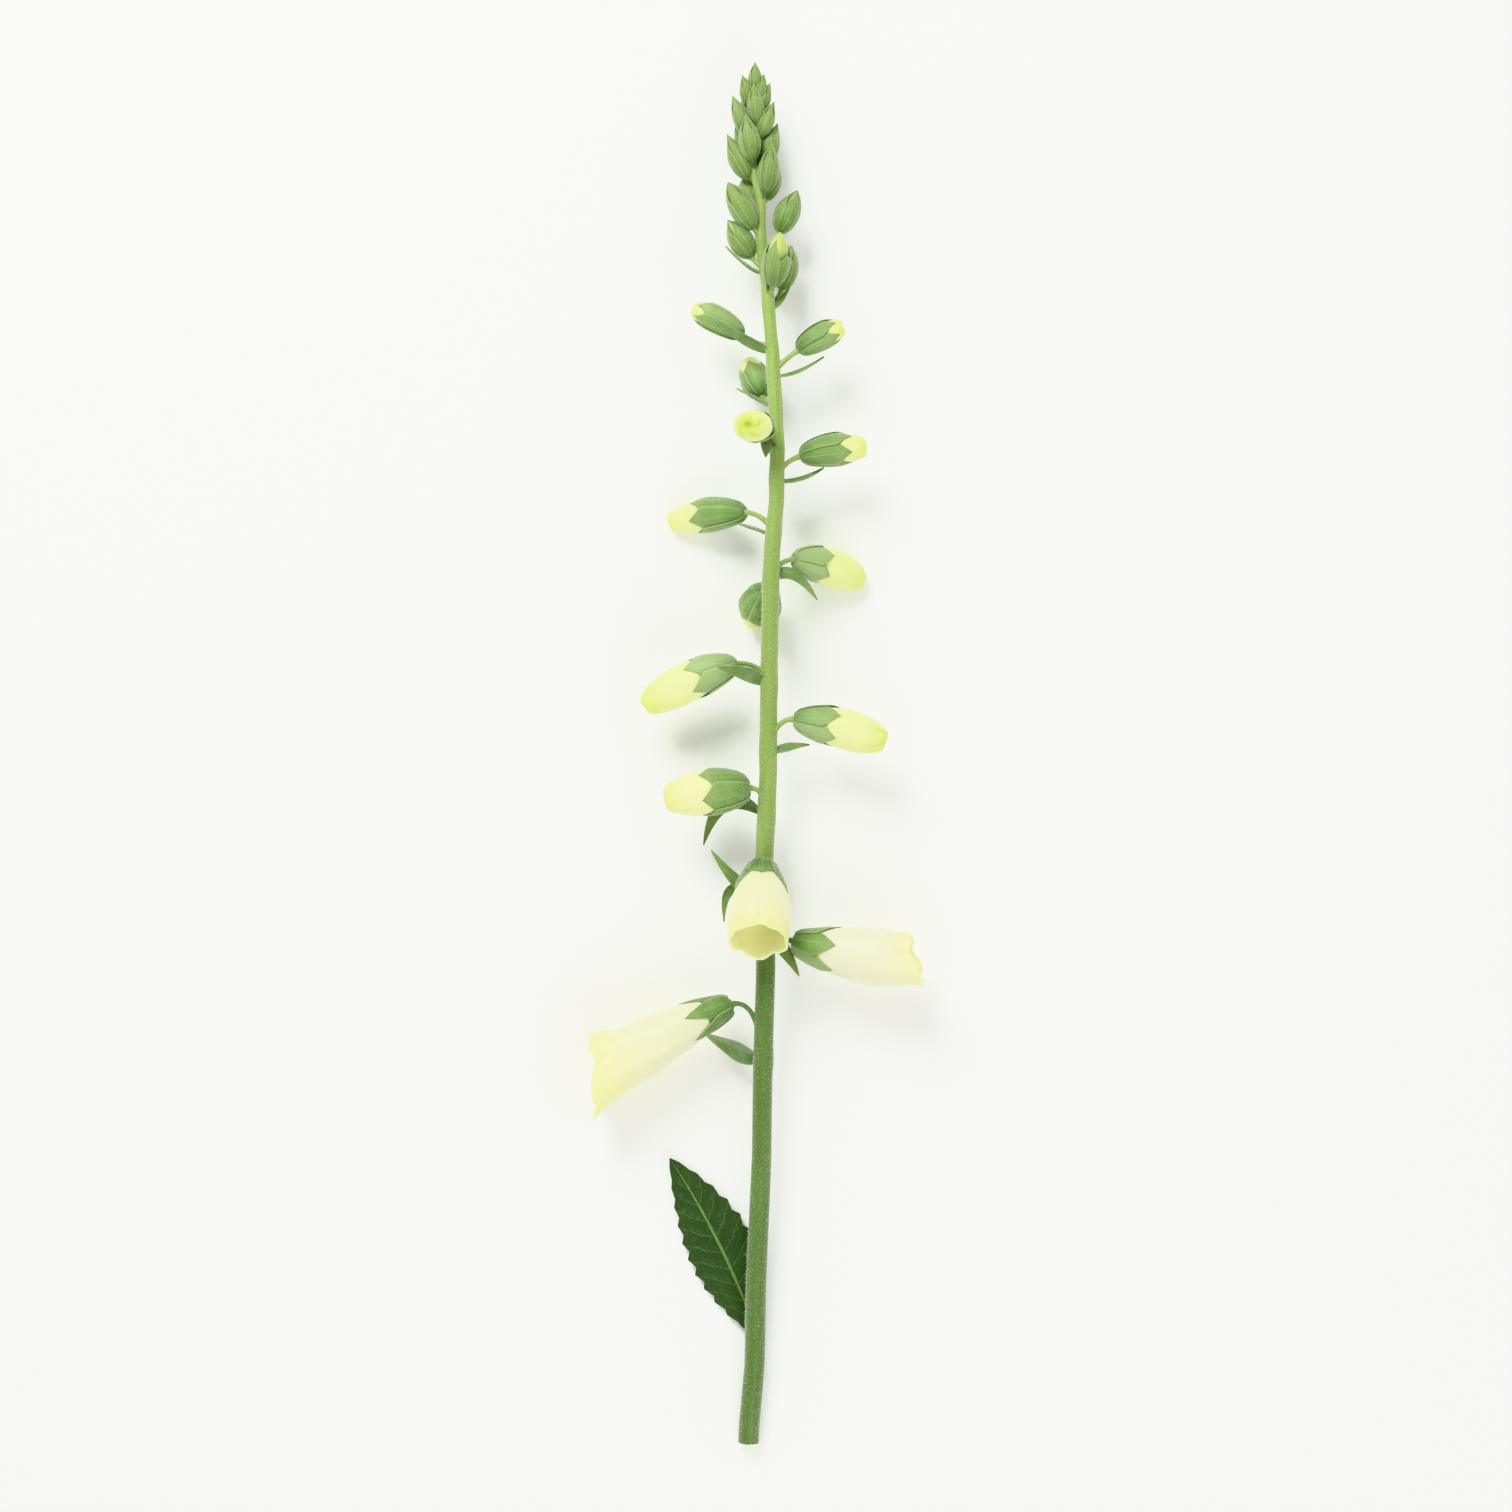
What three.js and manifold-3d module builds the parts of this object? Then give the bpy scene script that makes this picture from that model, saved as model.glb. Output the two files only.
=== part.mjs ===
// A foxglove flower spike, cut from its plant and laid down on a surface.
// Millimetres, +Z up. The stem runs along +Y from its cut end to its tip, and the side of the spike
// that faces up is the one that faced the viewer while it grew.

import * as THREE from 'three';
import { mergeVertices } from 'three/addons/utils/BufferGeometryUtils.js';
import Module from 'manifold-3d';

const wasm = await Module();
wasm.setup();

// Driving sizes of the stem
const SPIKE_LENGTH = 394.5;
const CUT_END_HEIGHT = 2.9;
const ARCH_TOP_HEIGHT = 18.7;
const ARCH_TOP_AT = 275;
const STEM_SIDES = 10;

// Middle of the spike's outline, which becomes the origin
const MIDDLE_X = 0.7;
const MIDDLE_Y = 197;

// The stem's centre line from above, with a small kink at each flower: x, y, radius
const STEM_LINE = [
  [-1.5, 0, 3.0], [-1.2, 6, 3.0], [0.3, 22.5, 2.95], [0.75, 46.5, 2.9], [2.3, 82.5, 2.85],
  [2.6, 107.5, 2.8], [3.5, 137.5, 2.75], [3.0, 167.5, 2.65], [4.2, 192.5, 2.55], [4.3, 217.5, 2.5],
  [4.9, 244.5, 2.4], [5.3, 257.5, 2.3], [6.6, 270, 2.2], [6.7, 283, 2.1], [6.0, 302, 1.95],
  [5.1, 313.5, 1.85], [4.3, 326, 1.75], [3.5, 333.5, 1.65], [1.85, 345, 1.5], [2.2, 355.5, 1.35],
  [-0.2, 364.5, 1.2], [0, 380, 0.85], [0.3, SPIKE_LENGTH - 6, 0.5],
];

// Walls and clearances
const SEAT_GAP = 0.3;
const SEPAL_THICKNESS = 0.6;
const PETAL_WALL = 0.8;
const BLADE_THICKNESS = 0.7;
const PEDICEL_RADIUS = 0.85;
const FACET_ROOM = 0.06;
const EDGE_ROOM = 0.1;
const STALKED_BUD_WIDTH = 5.9;

// Outline of a closed flower: radius = sin(pi * t ^ skew) ^ bluntness of its full radius. A larger
// skew moves the widest place toward the tip.
const BUD_SKEW = 1.06;
const BUD_BLUNTNESS = 0.34;

// Outline of a green bud: radius = sin(pi * t ^ skew) ^ (bluntness + sharper * t) * (1 - taper * t).
// The small ones are pointed drops, and the larger ones are fuller.
const SMALL_BUD = { skew: 0.8, bluntness: 0.7, sharper: 0.45, taper: 0.1 };
const LARGE_BUD = { skew: 0.92, bluntness: 0.55, sharper: 0.25, taper: 0.08 };

// Outline of an open bell: share of its length, share of its full radius
const BELL_OUTLINE = [
  [0, 0.26], [0.06, 0.4], [0.19, 0.57], [0.36, 0.76], [0.54, 0.9], [0.72, 0.98], [0.86, 1], [1, 1],
];

// Petals: shares along a flower where they start, where an open bell's hollow ends and where its lip
// begins, and their girth under the sepals and beyond them
const COROLLA_START = 0.07;
const BELL_FLOOR = 0.13;
const LIP_FROM = 0.7;
const LIP_SPREAD = 0.06;
const COVERED_GIRTH = 0.94;
const FREE_GIRTH = 1.03;
const BUD_FOLD = { from: 0.62, depth: 0.14 };
const BUD_SIDES = 15;
const LOBED_SIDES = 20;
const LOBES = 5;
const LOBE_REACH = 0.035;

// Sepals: how fast they narrow, and how deep the notches between them go, as a share of their reach
const SEPAL_TAPER = 1.7;
const BELL_NOTCH = 0.32;
const BUD_NOTCH = 0.66;

// Bracts: width share = sin(pi * t ^ skew) ^ bluntness, but never under the narrowest
const BRACT = { drop: 1.6, bend: 0.45, skew: 0.75, bluntness: 0.8, narrowest: 0.12, fold: 0.25 };

// Four stamens on a ring at the bottom of a bell, which run up under its upper side. The outer two
// are shorter, and each ends in a fat anther. The lean is how fast each leaves the bell's axis.
const STAMEN_ANGLES = [-62, -27, 27, 62];
const STAMEN_ENDS = [0.68, 0.78, 0.78, 0.68];
const STAMEN_OUTLINE = [
  [0, 0.35], [0.3, 0.35], [0.6, 0.35], [0.84, 0.35], [0.87, 0.85], [0.94, 0.9], [0.99, 0.45],
];
const STAMEN_RING = { from: 0.155, to: 0.185, inner: 1.55, outer: 2.55 };
const STAMEN_ROOM = 1.5;
const STAMEN_LEAN = 14;

// Pistil: its thickness along it, from a fat ovary to a small stigma
const PISTIL_OUTLINE = [
  [0, 1.1], [0.06, 1.2], [0.14, 1.05], [0.24, 0.4], [0.94, 0.35], [0.97, 0.5], [1, 0.45],
];
const PISTIL_ROOM = 1.3;
const PISTIL_LEAN = 16;

// Flowers whose petals show, from the cut end to the tip. Each has, in mm: the height of its root on
// the stem, its base and tip from above, the lift of its base over the stem's centre line, the rise
// of its tip over its base, its nod (how far its middle bows toward the tip of the spike) and width.
// sepals is the share of its length that they cover, and oblique is how far the lower side of an open
// bell's mouth stands before its upper side, as a share of its length. A shoulder under 1 fills a bell
// out near its foot, notch sets how deep its sepals are cut, and topSepal shortens the one over its
// upper side. A flower that is flat is pressed a little between those sides, and twist turns one about
// its own axis, in degrees. A bract stands below each.
const OPEN_BELLS = [
  {
    name: '01', root: 112, base: [-5.8, 126.6], tip: [-44, 107.2], lift: 1.5, rise: 1, nod: 0.8,
    width: 16.4, flare: 1.18, oblique: 0.26, sepals: 0.34,
    bract: { tip: [-13.8, 117.6], width: 8.5, rise: -5, turn: 45, bow: 0 },
  },
  {
    name: '02', root: 148.5, base: [10.8, 144.4], tip: [44.8, 139.6], lift: 1, rise: 4, nod: -1,
    width: 17, flare: 0.82, oblique: 0.13, shoulder: 0.95, sepals: 0.38, notch: 0.5,
    bract: { tip: [13, 134.5], width: 4, rise: 4, turn: 60, bow: 2 },
  },
  {
    name: '03', root: 160, base: [2.6, 167.3], tip: [1.4, 145.6], lift: 5.95, rise: 12, nod: 0,
    width: 18.4, flare: 0.87, oblique: 0.09, shoulder: 0.97, sepals: 0.43, notch: 0.5, topSepal: 0.3,
    bract: { tip: [-12, 170.3], width: 4.2, rise: 1, turn: 75, bow: -4, out: 2 },
  },
];

const CLOSED_FLOWERS = [
  {
    name: '04', root: 181.5, base: [-0.6, 188], tip: [-26, 184.6], lift: 3.5, rise: 2, nod: 0.3,
    width: 13.5, twist: 36, sepals: 0.57, notch: 0.72,
    bract: { tip: [-14.3, 171.5], width: 4.8, rise: -7, turn: 70, bow: 8, out: -5 },
  },
  {
    name: '05', root: 199.5, base: [10.9, 207.5], tip: [38.3, 200.4], lift: 2, rise: 1, nod: 1,
    width: 12.4, skew: 1.25, twist: -18, sepals: 0.48,
    bract: { tip: [16, 200.2], width: 3.5, rise: -1, turn: 40, bow: 1 },
  },
  {
    name: '06', root: 219, base: [-4.2, 223.3], tip: [-31.8, 210.6], lift: 1, rise: -3, nod: 1.4,
    width: 12.3, skew: 1.25, twist: 18, sepals: 0.5,
    bract: { tip: [-10.2, 222.2], width: 4.2, rise: 8, turn: 60, bow: 1 },
  },
  {
    name: '07', root: 243.5, base: [3.3, 244.4], tip: [0.3, 234.8], lift: -3.8, rise: -11, nod: 0,
    width: 12.2, twist: 36, sepals: 0.66, notch: 0.8,
    bract: { tip: [5.5, 230.5], width: 3.4, rise: -5.5, turn: 30, bow: 0 },
  },
  {
    name: '08', root: 248.5, base: [11.2, 253], tip: [31.5, 246.8], lift: -3.6, rise: -13.2, nod: 1.2,
    width: 11.7, skew: 1.2, twist: -18, sepals: 0.44,
    bract: { tip: [18.2, 241.4], width: 3.4, rise: -3, turn: 80, bow: 4.5 },
  },
  {
    name: '09', root: 261.2, base: [-1.9, 266.4], tip: [-24.6, 263.8], lift: -4, rise: -13.38, nod: 0.8,
    width: 10.1, skew: 1.2, twist: 36, sepals: 0.64, notch: 0.72,
    bract: { tip: [-4.5, 263.2], width: 2.6, rise: -4, turn: 20, bow: 0.5 },
  },
  {
    name: '10', root: 277, base: [12.8, 282], tip: [33.1, 284.4], lift: 0, rise: 0.5, nod: 0.8,
    width: 9.6, skew: 1.15, twist: 36, sepals: 0.75, notch: 0.72,
    bract: { tip: [20, 279], width: 3, rise: -2, turn: 25, bow: -1 },
  },
  {
    name: '11', root: 286.5, base: [2.3, 290], tip: [-1.9, 289.7], lift: 5, rise: 14.6, nod: 0,
    width: 11.9, flat: 0.2, skew: 1.2, sepals: 0.52,
    bract: { tip: [3.4, 281.6], width: 5, rise: 4, turn: -40, bow: 2.9, out: -1.3 },
  },
  {
    name: '12', root: 297, base: [2.5, 299.3], tip: [-1.8, 310.8], lift: -4.6, rise: -6.5, nod: 0,
    width: 8.6, sepals: 0.78, bract: { tip: [-4.8, 301.7], width: 2.4, rise: -5, turn: 20, bow: 0.5 },
  },
  {
    name: '13', root: 306.5, base: [12.4, 312], tip: [26.6, 318.9], lift: 0.5, rise: 1, nod: 0.8,
    width: 8, twist: -18, sepals: 0.83, notch: 0.64,
    bract: { tip: [20, 310.5], width: 2.4, rise: -1, turn: 20, bow: -1 },
  },
  {
    name: '14', root: 313.2, base: [-2.9, 316.2], tip: [-18.4, 324.2], lift: 0.5, rise: -1, nod: 0.8,
    width: 7.7, twist: 18, sepals: 0.86, notch: 0.76,
    bract: { tip: [-11, 320.4], width: 3, rise: 4.4, turn: 60, bow: -0.5 },
  },
];

// Closed green buds below the tip, and the row of buds that shows on the tip itself
const GREEN_BUDS = [
  {
    root: 328, base: [5.5, 330], tip: [7.6, 345], lift: 3, rise: 6, width: 7.7,
    bract: { tip: [3.2, 337.5], width: 2.2, rise: 4.5, turn: 70, bow: -0.5 },
  },
  {
    root: 325.5, base: [7.9, 329.6], tip: [10.8, 342.4], lift: -3.5, rise: -1, width: 6.4,
    bract: { tip: [10.4, 330.6], width: 2.4, rise: -1, turn: 40, bow: -0.5 },
  },
  {
    root: 335.5, base: [-0.3, 338.5], tip: [-7.3, 349.3], lift: -0.5, rise: 0, width: 6.6,
    bract: { tip: [-8, 342], width: 2, rise: 0, turn: 15, bow: -1 },
  },
  { root: 340, base: [7.1, 345.6], tip: [12.5, 357.9], lift: -1, rise: -1, width: 6.6 },
  { root: 344.8, base: [0.3, 346.5], tip: [-7.3, 359.8], lift: 1, rise: 1, width: 7.2 },
  { root: 353.5, base: [3.3, 357], tip: [5.4, 370.8], lift: 2.2, rise: 1.5, width: 5.6 },
  { root: 358, base: [-1.2, 361], tip: [-7.6, 373.8], lift: -0.5, rise: 0, width: 5.8 },
  { root: 362, base: [-0.3, 365.8], tip: [-2.2, 379.2], lift: 2.4, rise: 1.2, width: 5.6 },
  { root: 363, base: [2.6, 365], tip: [6.9, 377], lift: -1, rise: -0.5, width: 5 },
  { root: 371, base: [1.3, 372.6], tip: [5.9, 383], lift: 0.8, rise: 0.5, width: 4.4 },
  { root: 372, base: [-1.5, 373.2], tip: [-6, 384.8], lift: 0.4, rise: 0.3, width: 4.4 },
  { root: 375, base: [1.0, 376.2], tip: [0, 388], lift: 1.6, rise: 0.6, width: 4.2 },
  { root: 379, base: [1.1, 380], tip: [4.8, 388.6], lift: -0.4, rise: -0.4, width: 3.6 },
  { root: 381, base: [-0.7, 381.5], tip: [-3.2, 390.8], lift: 0, rise: 0, width: 3.6 },
  { root: 383, base: [0.9, 383], tip: [3, 391], lift: 0.2, rise: 0.2, width: 3.2 },
  { root: 386, base: [0.3, 385.5], tip: [0.45, SPIKE_LENGTH], lift: 0.2, rise: 0, width: 3.4 },
];

// A bract that has outlived its flower, behind the middle bell
const BARE_BRACTS = [
  { root: 157, bract: { tip: [-8.5, 149.6], width: 3.2, rise: -3, turn: 60, bow: 6.6, out: -7.5 } },
];

// Buds that close the far side of the tip, set by a rule: height, first and last, and their turns
const FAR_BUD_TURNS = [-30, 26, -6, 34, -36, 12, -18, 22];
const FAR_BUDS_FROM = 349;
const FAR_BUDS_TO = 382;
const FAR_BUD_LENGTH = [14, 9];
const FAR_BUD_WIDTH = [6.6, 4];

// The one leaf at the foot, seen from above, and its toothed edge
const LEAF = {
  foot: [0.7, 31], tip: [-24, 81.5], width: 20, teeth: 11, toothDepth: 0.14, bow: 2,
  footHeight: 2.5, middleHeight: 1.6, tipHeight: 3.4, fold: 0.1, footWidth: 0.26, skew: 0.9, bluntness: 0.85,
};

const greens = { stem: 0x96c350, leaf: 0x4f7f33 };
const petalColours = { young: 0xe4ec7c, grown: 0xf1efb4 };
const innerColours = { stamens: 0xf2e6a0, pistil: 0xd7dd8a };

const Y_AXIS = new THREE.Vector3(0, 1, 0);
const Z_AXIS = new THREE.Vector3(0, 0, 1);

// Linear reading of a table of rows [key, value] at a key
function readTable(table, key) {
  const next = Math.max(1, table.findIndex((row) => row[0] >= key));
  const [k0, v0] = table[next - 1];
  const [k1, v1] = table[next];
  return v0 + (v1 - v0) * THREE.MathUtils.clamp((key - k0) / (k1 - k0), 0, 1);
}

// Height of the stem's centre line: a parabola, low at the cut end and highest at ARCH_TOP_AT
function stemHeight(y) {
  const away = (y - ARCH_TOP_AT) / ARCH_TOP_AT;
  return ARCH_TOP_HEIGHT - (ARCH_TOP_HEIGHT - CUT_END_HEIGHT) * away * away;
}

// Point of the stem's centre line at a height along the spike
function stemPoint(y) {
  const x = readTable(STEM_LINE.map((row) => [row[1], row[0]]), y);
  return new THREE.Vector3(x, y, stemHeight(y));
}

// Closed skin through rings of equally many points, with a fan over each end. The faces point out.
function loft(rings, startPoint, endPoint) {
  const sides = rings[0].length;
  const points = [...rings.flat(), startPoint, endPoint];
  const start = points.length - 2;
  const end = points.length - 1;
  const faces = [];
  for (let r = 0; r + 1 < rings.length; r++) {
    for (let i = 0; i < sides; i++) {
      const a = r * sides + i;
      const b = r * sides + ((i + 1) % sides);
      faces.push(a, b, b + sides, a, b + sides, a + sides);
    }
  }
  const last = (rings.length - 1) * sides;
  for (let i = 0; i < sides; i++) {
    const j = (i + 1) % sides;
    faces.push(start, j, i);
    faces.push(end, last + i, last + j);
  }
  if (volumeOf(points, faces) < 0) faces.reverse();
  const geometry = new THREE.BufferGeometry().setFromPoints(points);
  geometry.setIndex(faces);
  return geometry;
}

function volumeOf(points, faces) {
  let six = 0;
  const cross = new THREE.Vector3();
  for (let f = 0; f < faces.length; f += 3) {
    cross.crossVectors(points[faces[f + 1]], points[faces[f + 2]]);
    six += points[faces[f]].dot(cross);
  }
  return six / 6;
}

// Two directions across an axis, the first one nearest to a given direction
function acrossAxis(tangent, reference) {
  const first = reference.clone().addScaledVector(tangent, -reference.dot(tangent)).normalize();
  return [first, new THREE.Vector3().crossVectors(tangent, first)];
}

// Ring of points round an axis: place(angle) gives each one's share along the axis and its radius
function ringRound(axis, reference, sides, place) {
  const ring = [];
  for (let i = 0; i < sides; i++) {
    const angle = (i / sides) * Math.PI * 2;
    const [t, radius] = place(angle);
    const clamped = Math.min(t, 1);
    const tangent = axis.getTangent(clamped);
    const [u, v] = acrossAxis(tangent, reference);
    const point = axis.getPoint(clamped);
    if (t > clamped) point.addScaledVector(tangent, (t - clamped) * axis.span);
    point.addScaledVector(u, Math.cos(angle) * radius).addScaledVector(v, Math.sin(angle) * radius);
    ring.push(point);
  }
  return ring;
}

// Round bar of changing radius along an axis
function bar(axis, reference, sides, shares, radiusAt) {
  const rings = shares.map((t) => ringRound(axis, reference, sides, () => [t, radiusAt(t)]));
  return loft(rings, axis.getPoint(shares[0]), axis.getPoint(shares[shares.length - 1]));
}

// Even shares from one value to another
function steps(from, to, count) {
  return Array.from({ length: count + 1 }, (_, i) => from + ((to - from) * i) / count);
}

// Rounded lobes round a ring: 1 in the middle of a lobe, 0 between two. One sepal is uppermost, and
// the petals stand between the sepals, so that one petal is lowermost.
function sepalLobe(angle) {
  return Math.abs(Math.cos((LOBES * angle) / 2));
}

function petalLobe(angle) {
  return sepalLobe(angle + Math.PI);
}

// Geometry to solid and back
function toSolid(geometry) {
  let merged = geometry;
  if (geometry.attributes.normal) {
    merged = geometry.clone();
    merged.deleteAttribute('normal');
    merged.deleteAttribute('uv');
    merged = mergeVertices(merged);
  }
  return new wasm.Manifold(new wasm.Mesh({
    numProp: 3,
    vertProperties: new Float32Array(merged.attributes.position.array),
    triVerts: new Uint32Array(merged.index.array),
  }));
}

function toMesh(solid, name, colour, roughness) {
  const { vertProperties, triVerts } = solid.getMesh();
  const geometry = new THREE.BufferGeometry();
  geometry.setAttribute('position', new THREE.BufferAttribute(vertProperties, 3));
  geometry.setIndex(new THREE.BufferAttribute(triVerts, 1));
  geometry.computeVertexNormals();
  const material = new THREE.MeshStandardMaterial({ color: colour, roughness, metalness: 0 });
  const mesh = new THREE.Mesh(geometry, material);
  mesh.name = name;
  return mesh;
}

// Everything under the surface that the spike lies on, cut away to leave small flat spots
function underSurface() {
  const size = 2 * SPIKE_LENGTH;
  const box = new THREE.BoxGeometry(size, size, size);
  return toSolid(box.translate(0, 0, -size / 2));
}

// A flower's axis from its base to its tip or mouth, bowed toward the tip of the spike by its nod
function flowerAxis(flower) {
  const baseHeight = stemHeight(flower.root) + flower.lift;
  const base = new THREE.Vector3(...flower.base, baseHeight);
  const tip = new THREE.Vector3(...flower.tip, baseHeight + flower.rise);
  const control = base.clone().lerp(tip, 0.5).addScaledVector(Y_AXIS, 2 * (flower.nod ?? 0));
  const axis = new THREE.QuadraticBezierCurve3(base, control, tip);
  axis.span = base.distanceTo(tip);
  const direction = tip.clone().sub(base).normalize();
  axis.upper = (Math.abs(direction.y) < 0.8 ? Y_AXIS : Z_AXIS).clone();
  axis.upper.applyAxisAngle(direction, THREE.MathUtils.degToRad(flower.twist ?? 0));
  return axis;
}

function budRadius(flower, t) {
  const full = flower.width / 2 - SEAT_GAP;
  return full * Math.sin(Math.PI * Math.max(t, 0) ** (flower.skew ?? BUD_SKEW)) ** BUD_BLUNTNESS;
}

function bellRadius(flower, t) {
  const full = flower.width / 2;
  const flared = THREE.MathUtils.smoothstep(t, LIP_FROM, 1) * (flower.flare - 1);
  return full * (readTable(BELL_OUTLINE, Math.min(t, 1) ** (flower.shoulder ?? 1)) + flared);
}

// How far a flower is pressed flat between its upper and its lower side
function flatness(flower, angle) {
  return 1 - (flower.flat ?? 0) * Math.cos(angle) ** 2;
}

function flowerRadius(flower, t, angle) {
  return (flower.flare ? bellRadius(flower, t) : budRadius(flower, t)) * flatness(flower, angle);
}

// Closed petals: a blunt bud with five folded lobes at its end
function closedPetals(flower) {
  const axis = flowerAxis(flower);
  const shares = [COROLLA_START, 0.2, 0.4, 0.62, 0.8, 0.91, 0.98];
  const rings = shares.map((t) => ringRound(axis, axis.upper, BUD_SIDES, (angle) => {
    const folded = THREE.MathUtils.smoothstep(t, BUD_FOLD.from, 1) * BUD_FOLD.depth * (1 - petalLobe(angle));
    const free = THREE.MathUtils.smoothstep(t, flower.sepals - 0.04, flower.sepals + 0.08);
    const girth = THREE.MathUtils.lerp(COVERED_GIRTH, FREE_GIRTH, free);
    return [t, (budRadius(flower, t) - SEAT_GAP) * girth * (1 - folded) * flatness(flower, angle)];
  }));
  return loft(rings, axis.getPoint(COROLLA_START), axis.getPoint(1));
}

// How far the lip of an open bell reaches past the mouth's middle. The mouth is oblique, with its
// lower side (angle pi) furthest forward, and each of its five lobes stands out a little.
function lipReach(flower, angle) {
  const lower = (1 - Math.cos(angle)) / 2;
  return flower.oblique * (lower - 0.4) + LOBE_REACH * petalLobe(angle);
}

// Rings of one skin of an open bell, set in from the outside by a distance
function bellRings(flower, axis, inset, shares) {
  return shares.map((t) => ringRound(axis, axis.upper, LOBED_SIDES, (angle) => {
    const lip = THREE.MathUtils.smoothstep(t, LIP_FROM, 1);
    const spread = 1 + LIP_SPREAD * lip * petalLobe(angle);
    return [t + lip * lipReach(flower, angle), bellRadius(flower, t) * spread - inset];
  }));
}

// Open petals: a hollow bell with a lobed lip
function openPetals(flower) {
  const axis = flowerAxis(flower);
  const outer = bellRings(flower, axis, 0, [COROLLA_START, 0.2, 0.4, 0.6, 0.8, 0.92, 1]);
  const inner = bellRings(flower, axis, PETAL_WALL, [1, 0.9, 0.75, 0.5, 0.28, BELL_FLOOR]);
  return loft([...outer, ...inner], axis.getPoint(COROLLA_START), axis.getPoint(BELL_FLOOR));
}

// Five pointed sepals joined in a cup round the foot of the petals. The skin runs up the outside to
// the notched edge and down the inside, which keeps clear of the petals.
function calyx(flower) {
  const axis = flowerAxis(flower);
  const full = flower.sepals;
  const notch = full * (flower.notch ?? (flower.flare ? BELL_NOTCH : BUD_NOTCH));
  const inside = flower.flare ? SEAT_GAP + 3 * FACET_ROOM : FACET_ROOM;
  const reachOf = (angle) => (Math.cos(angle) > Math.cos(Math.PI / LOBES) ? flower.topSepal ?? 1 : 1);
  const edge = (angle) => notch + (full - notch) * reachOf(angle) * sepalLobe(angle) ** SEPAL_TAPER;
  const floor = COROLLA_START - SEAT_GAP / axis.span;
  const low = COROLLA_START + 0.03;
  const ringWith = (shareAt, offset) => ringRound(axis, axis.upper, BUD_SIDES, (angle) => {
    const t = shareAt(angle);
    return [t, flowerRadius(flower, t, angle) + offset];
  });
  const ringAt = (t, offset) => ringWith(() => t, offset);
  const edgeRing = (share, offset) => ringWith((angle) => low + (edge(angle) - low) * share, offset);
  const outside = inside + SEPAL_THICKNESS;
  const rows = full > 0.7 ? [0.35, 0.7, 1] : [0.5, 1];
  const rings = [
    ringAt(0.012, outside * 0.4), ringAt(low, outside),
    ...rows.map((share) => edgeRing(share, outside)),
    ...rows.toReversed().map((share) => edgeRing(share, inside)),
    ringAt(low, inside), ringAt(floor, inside),
  ];
  return loft(rings, axis.getPoint(0), axis.getPoint(floor));
}

// Closed green bud: five sepals that meet in a point. A small one sits on the stem by its own foot.
function greenBud(bud) {
  const axis = flowerAxis(bud);
  const large = bud.width > STALKED_BUD_WIDTH;
  const shares = steps(0.05, 0.92, large ? 4 : 3);
  const full = bud.width / 2;
  const { skew, bluntness, sharper, taper } = large ? LARGE_BUD : SMALL_BUD;
  const radiusAt = (t) => full * Math.sin(Math.PI * t ** skew) ** (bluntness + sharper * t) * (1 - taper * t);
  const rings = shares.map((t) => ringRound(axis, axis.upper, large ? 9 : 7, () => [t, radiusAt(t)]));
  const foot = large ? axis.getPoint(0) : stemPoint(bud.root).lerp(axis.getPoint(0), -0.3);
  return loft(rings, foot, axis.getPoint(1));
}

// The flower's own stalk, from the middle of the stem into its base
function pedicel(flower) {
  const axis = flowerAxis(flower);
  const root = stemPoint(flower.root);
  const base = axis.getPoint(0.04);
  const reach = root.distanceTo(base);
  const control = base.clone().addScaledVector(axis.getTangent(0), -0.5 * reach);
  const stalk = new THREE.QuadraticBezierCurve3(root, control, base);
  const radius = Math.min(PEDICEL_RADIUS, flower.width * 0.16);
  return bar(stalk, Z_AXIS, 5, steps(0, 1, 3), (t) => radius * (1.35 - 0.5 * Math.min(1, 2 * t)));
}

// Thin blade along a curve. Its width runs across the curve, turned by an angle round it, its sides
// stand up by a fold, and its two faces are split alike.
function blade(curve, shares, halfWidthAt, { across, fold, thickness }) {
  const rings = shares.map((t) => {
    const tangent = curve.getTangent(t);
    const [side, normal] = acrossAxis(tangent, across);
    const half = halfWidthAt(t);
    const at = (x, z) => curve.getPoint(t).addScaledVector(side, x).addScaledVector(normal, z);
    const up = thickness / 2;
    const raised = fold * half;
    return [
      at(-half, raised + up), at(0, up), at(half, raised + up),
      at(half, raised - up), at(0, -up), at(-half, raised - up),
    ];
  });
  return loft(rings, curve.getPoint(shares[0]), curve.getPoint(shares[shares.length - 1]));
}

// Narrow leaf under a flower, from the middle of the stem to its own tip
function bract(flower) {
  const { tip, width, rise, turn, bow, out = 0 } = flower.bract;
  const { drop, bend, skew, bluntness, narrowest, fold } = BRACT;
  const root = stemPoint(flower.root - drop);
  const end = new THREE.Vector3(...tip, root.z + rise);
  const control = root.clone().lerp(end, bend).add(new THREE.Vector3(out, 2 * bow, 0));
  const curve = new THREE.QuadraticBezierCurve3(root, control, end);
  const direction = end.clone().sub(root).normalize();
  const across = new THREE.Vector3().crossVectors(direction, Y_AXIS).normalize();
  across.applyAxisAngle(direction, THREE.MathUtils.degToRad(turn));
  const shapeAt = (t) => Math.max(narrowest, Math.sin(Math.PI * t ** skew) ** bluntness);
  const halfWidthAt = (t) => (width / 2) * shapeAt(t) + EDGE_ROOM;
  return blade(curve, steps(0, 1, 4), halfWidthAt, { across, fold, thickness: BLADE_THICKNESS });
}

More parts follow.
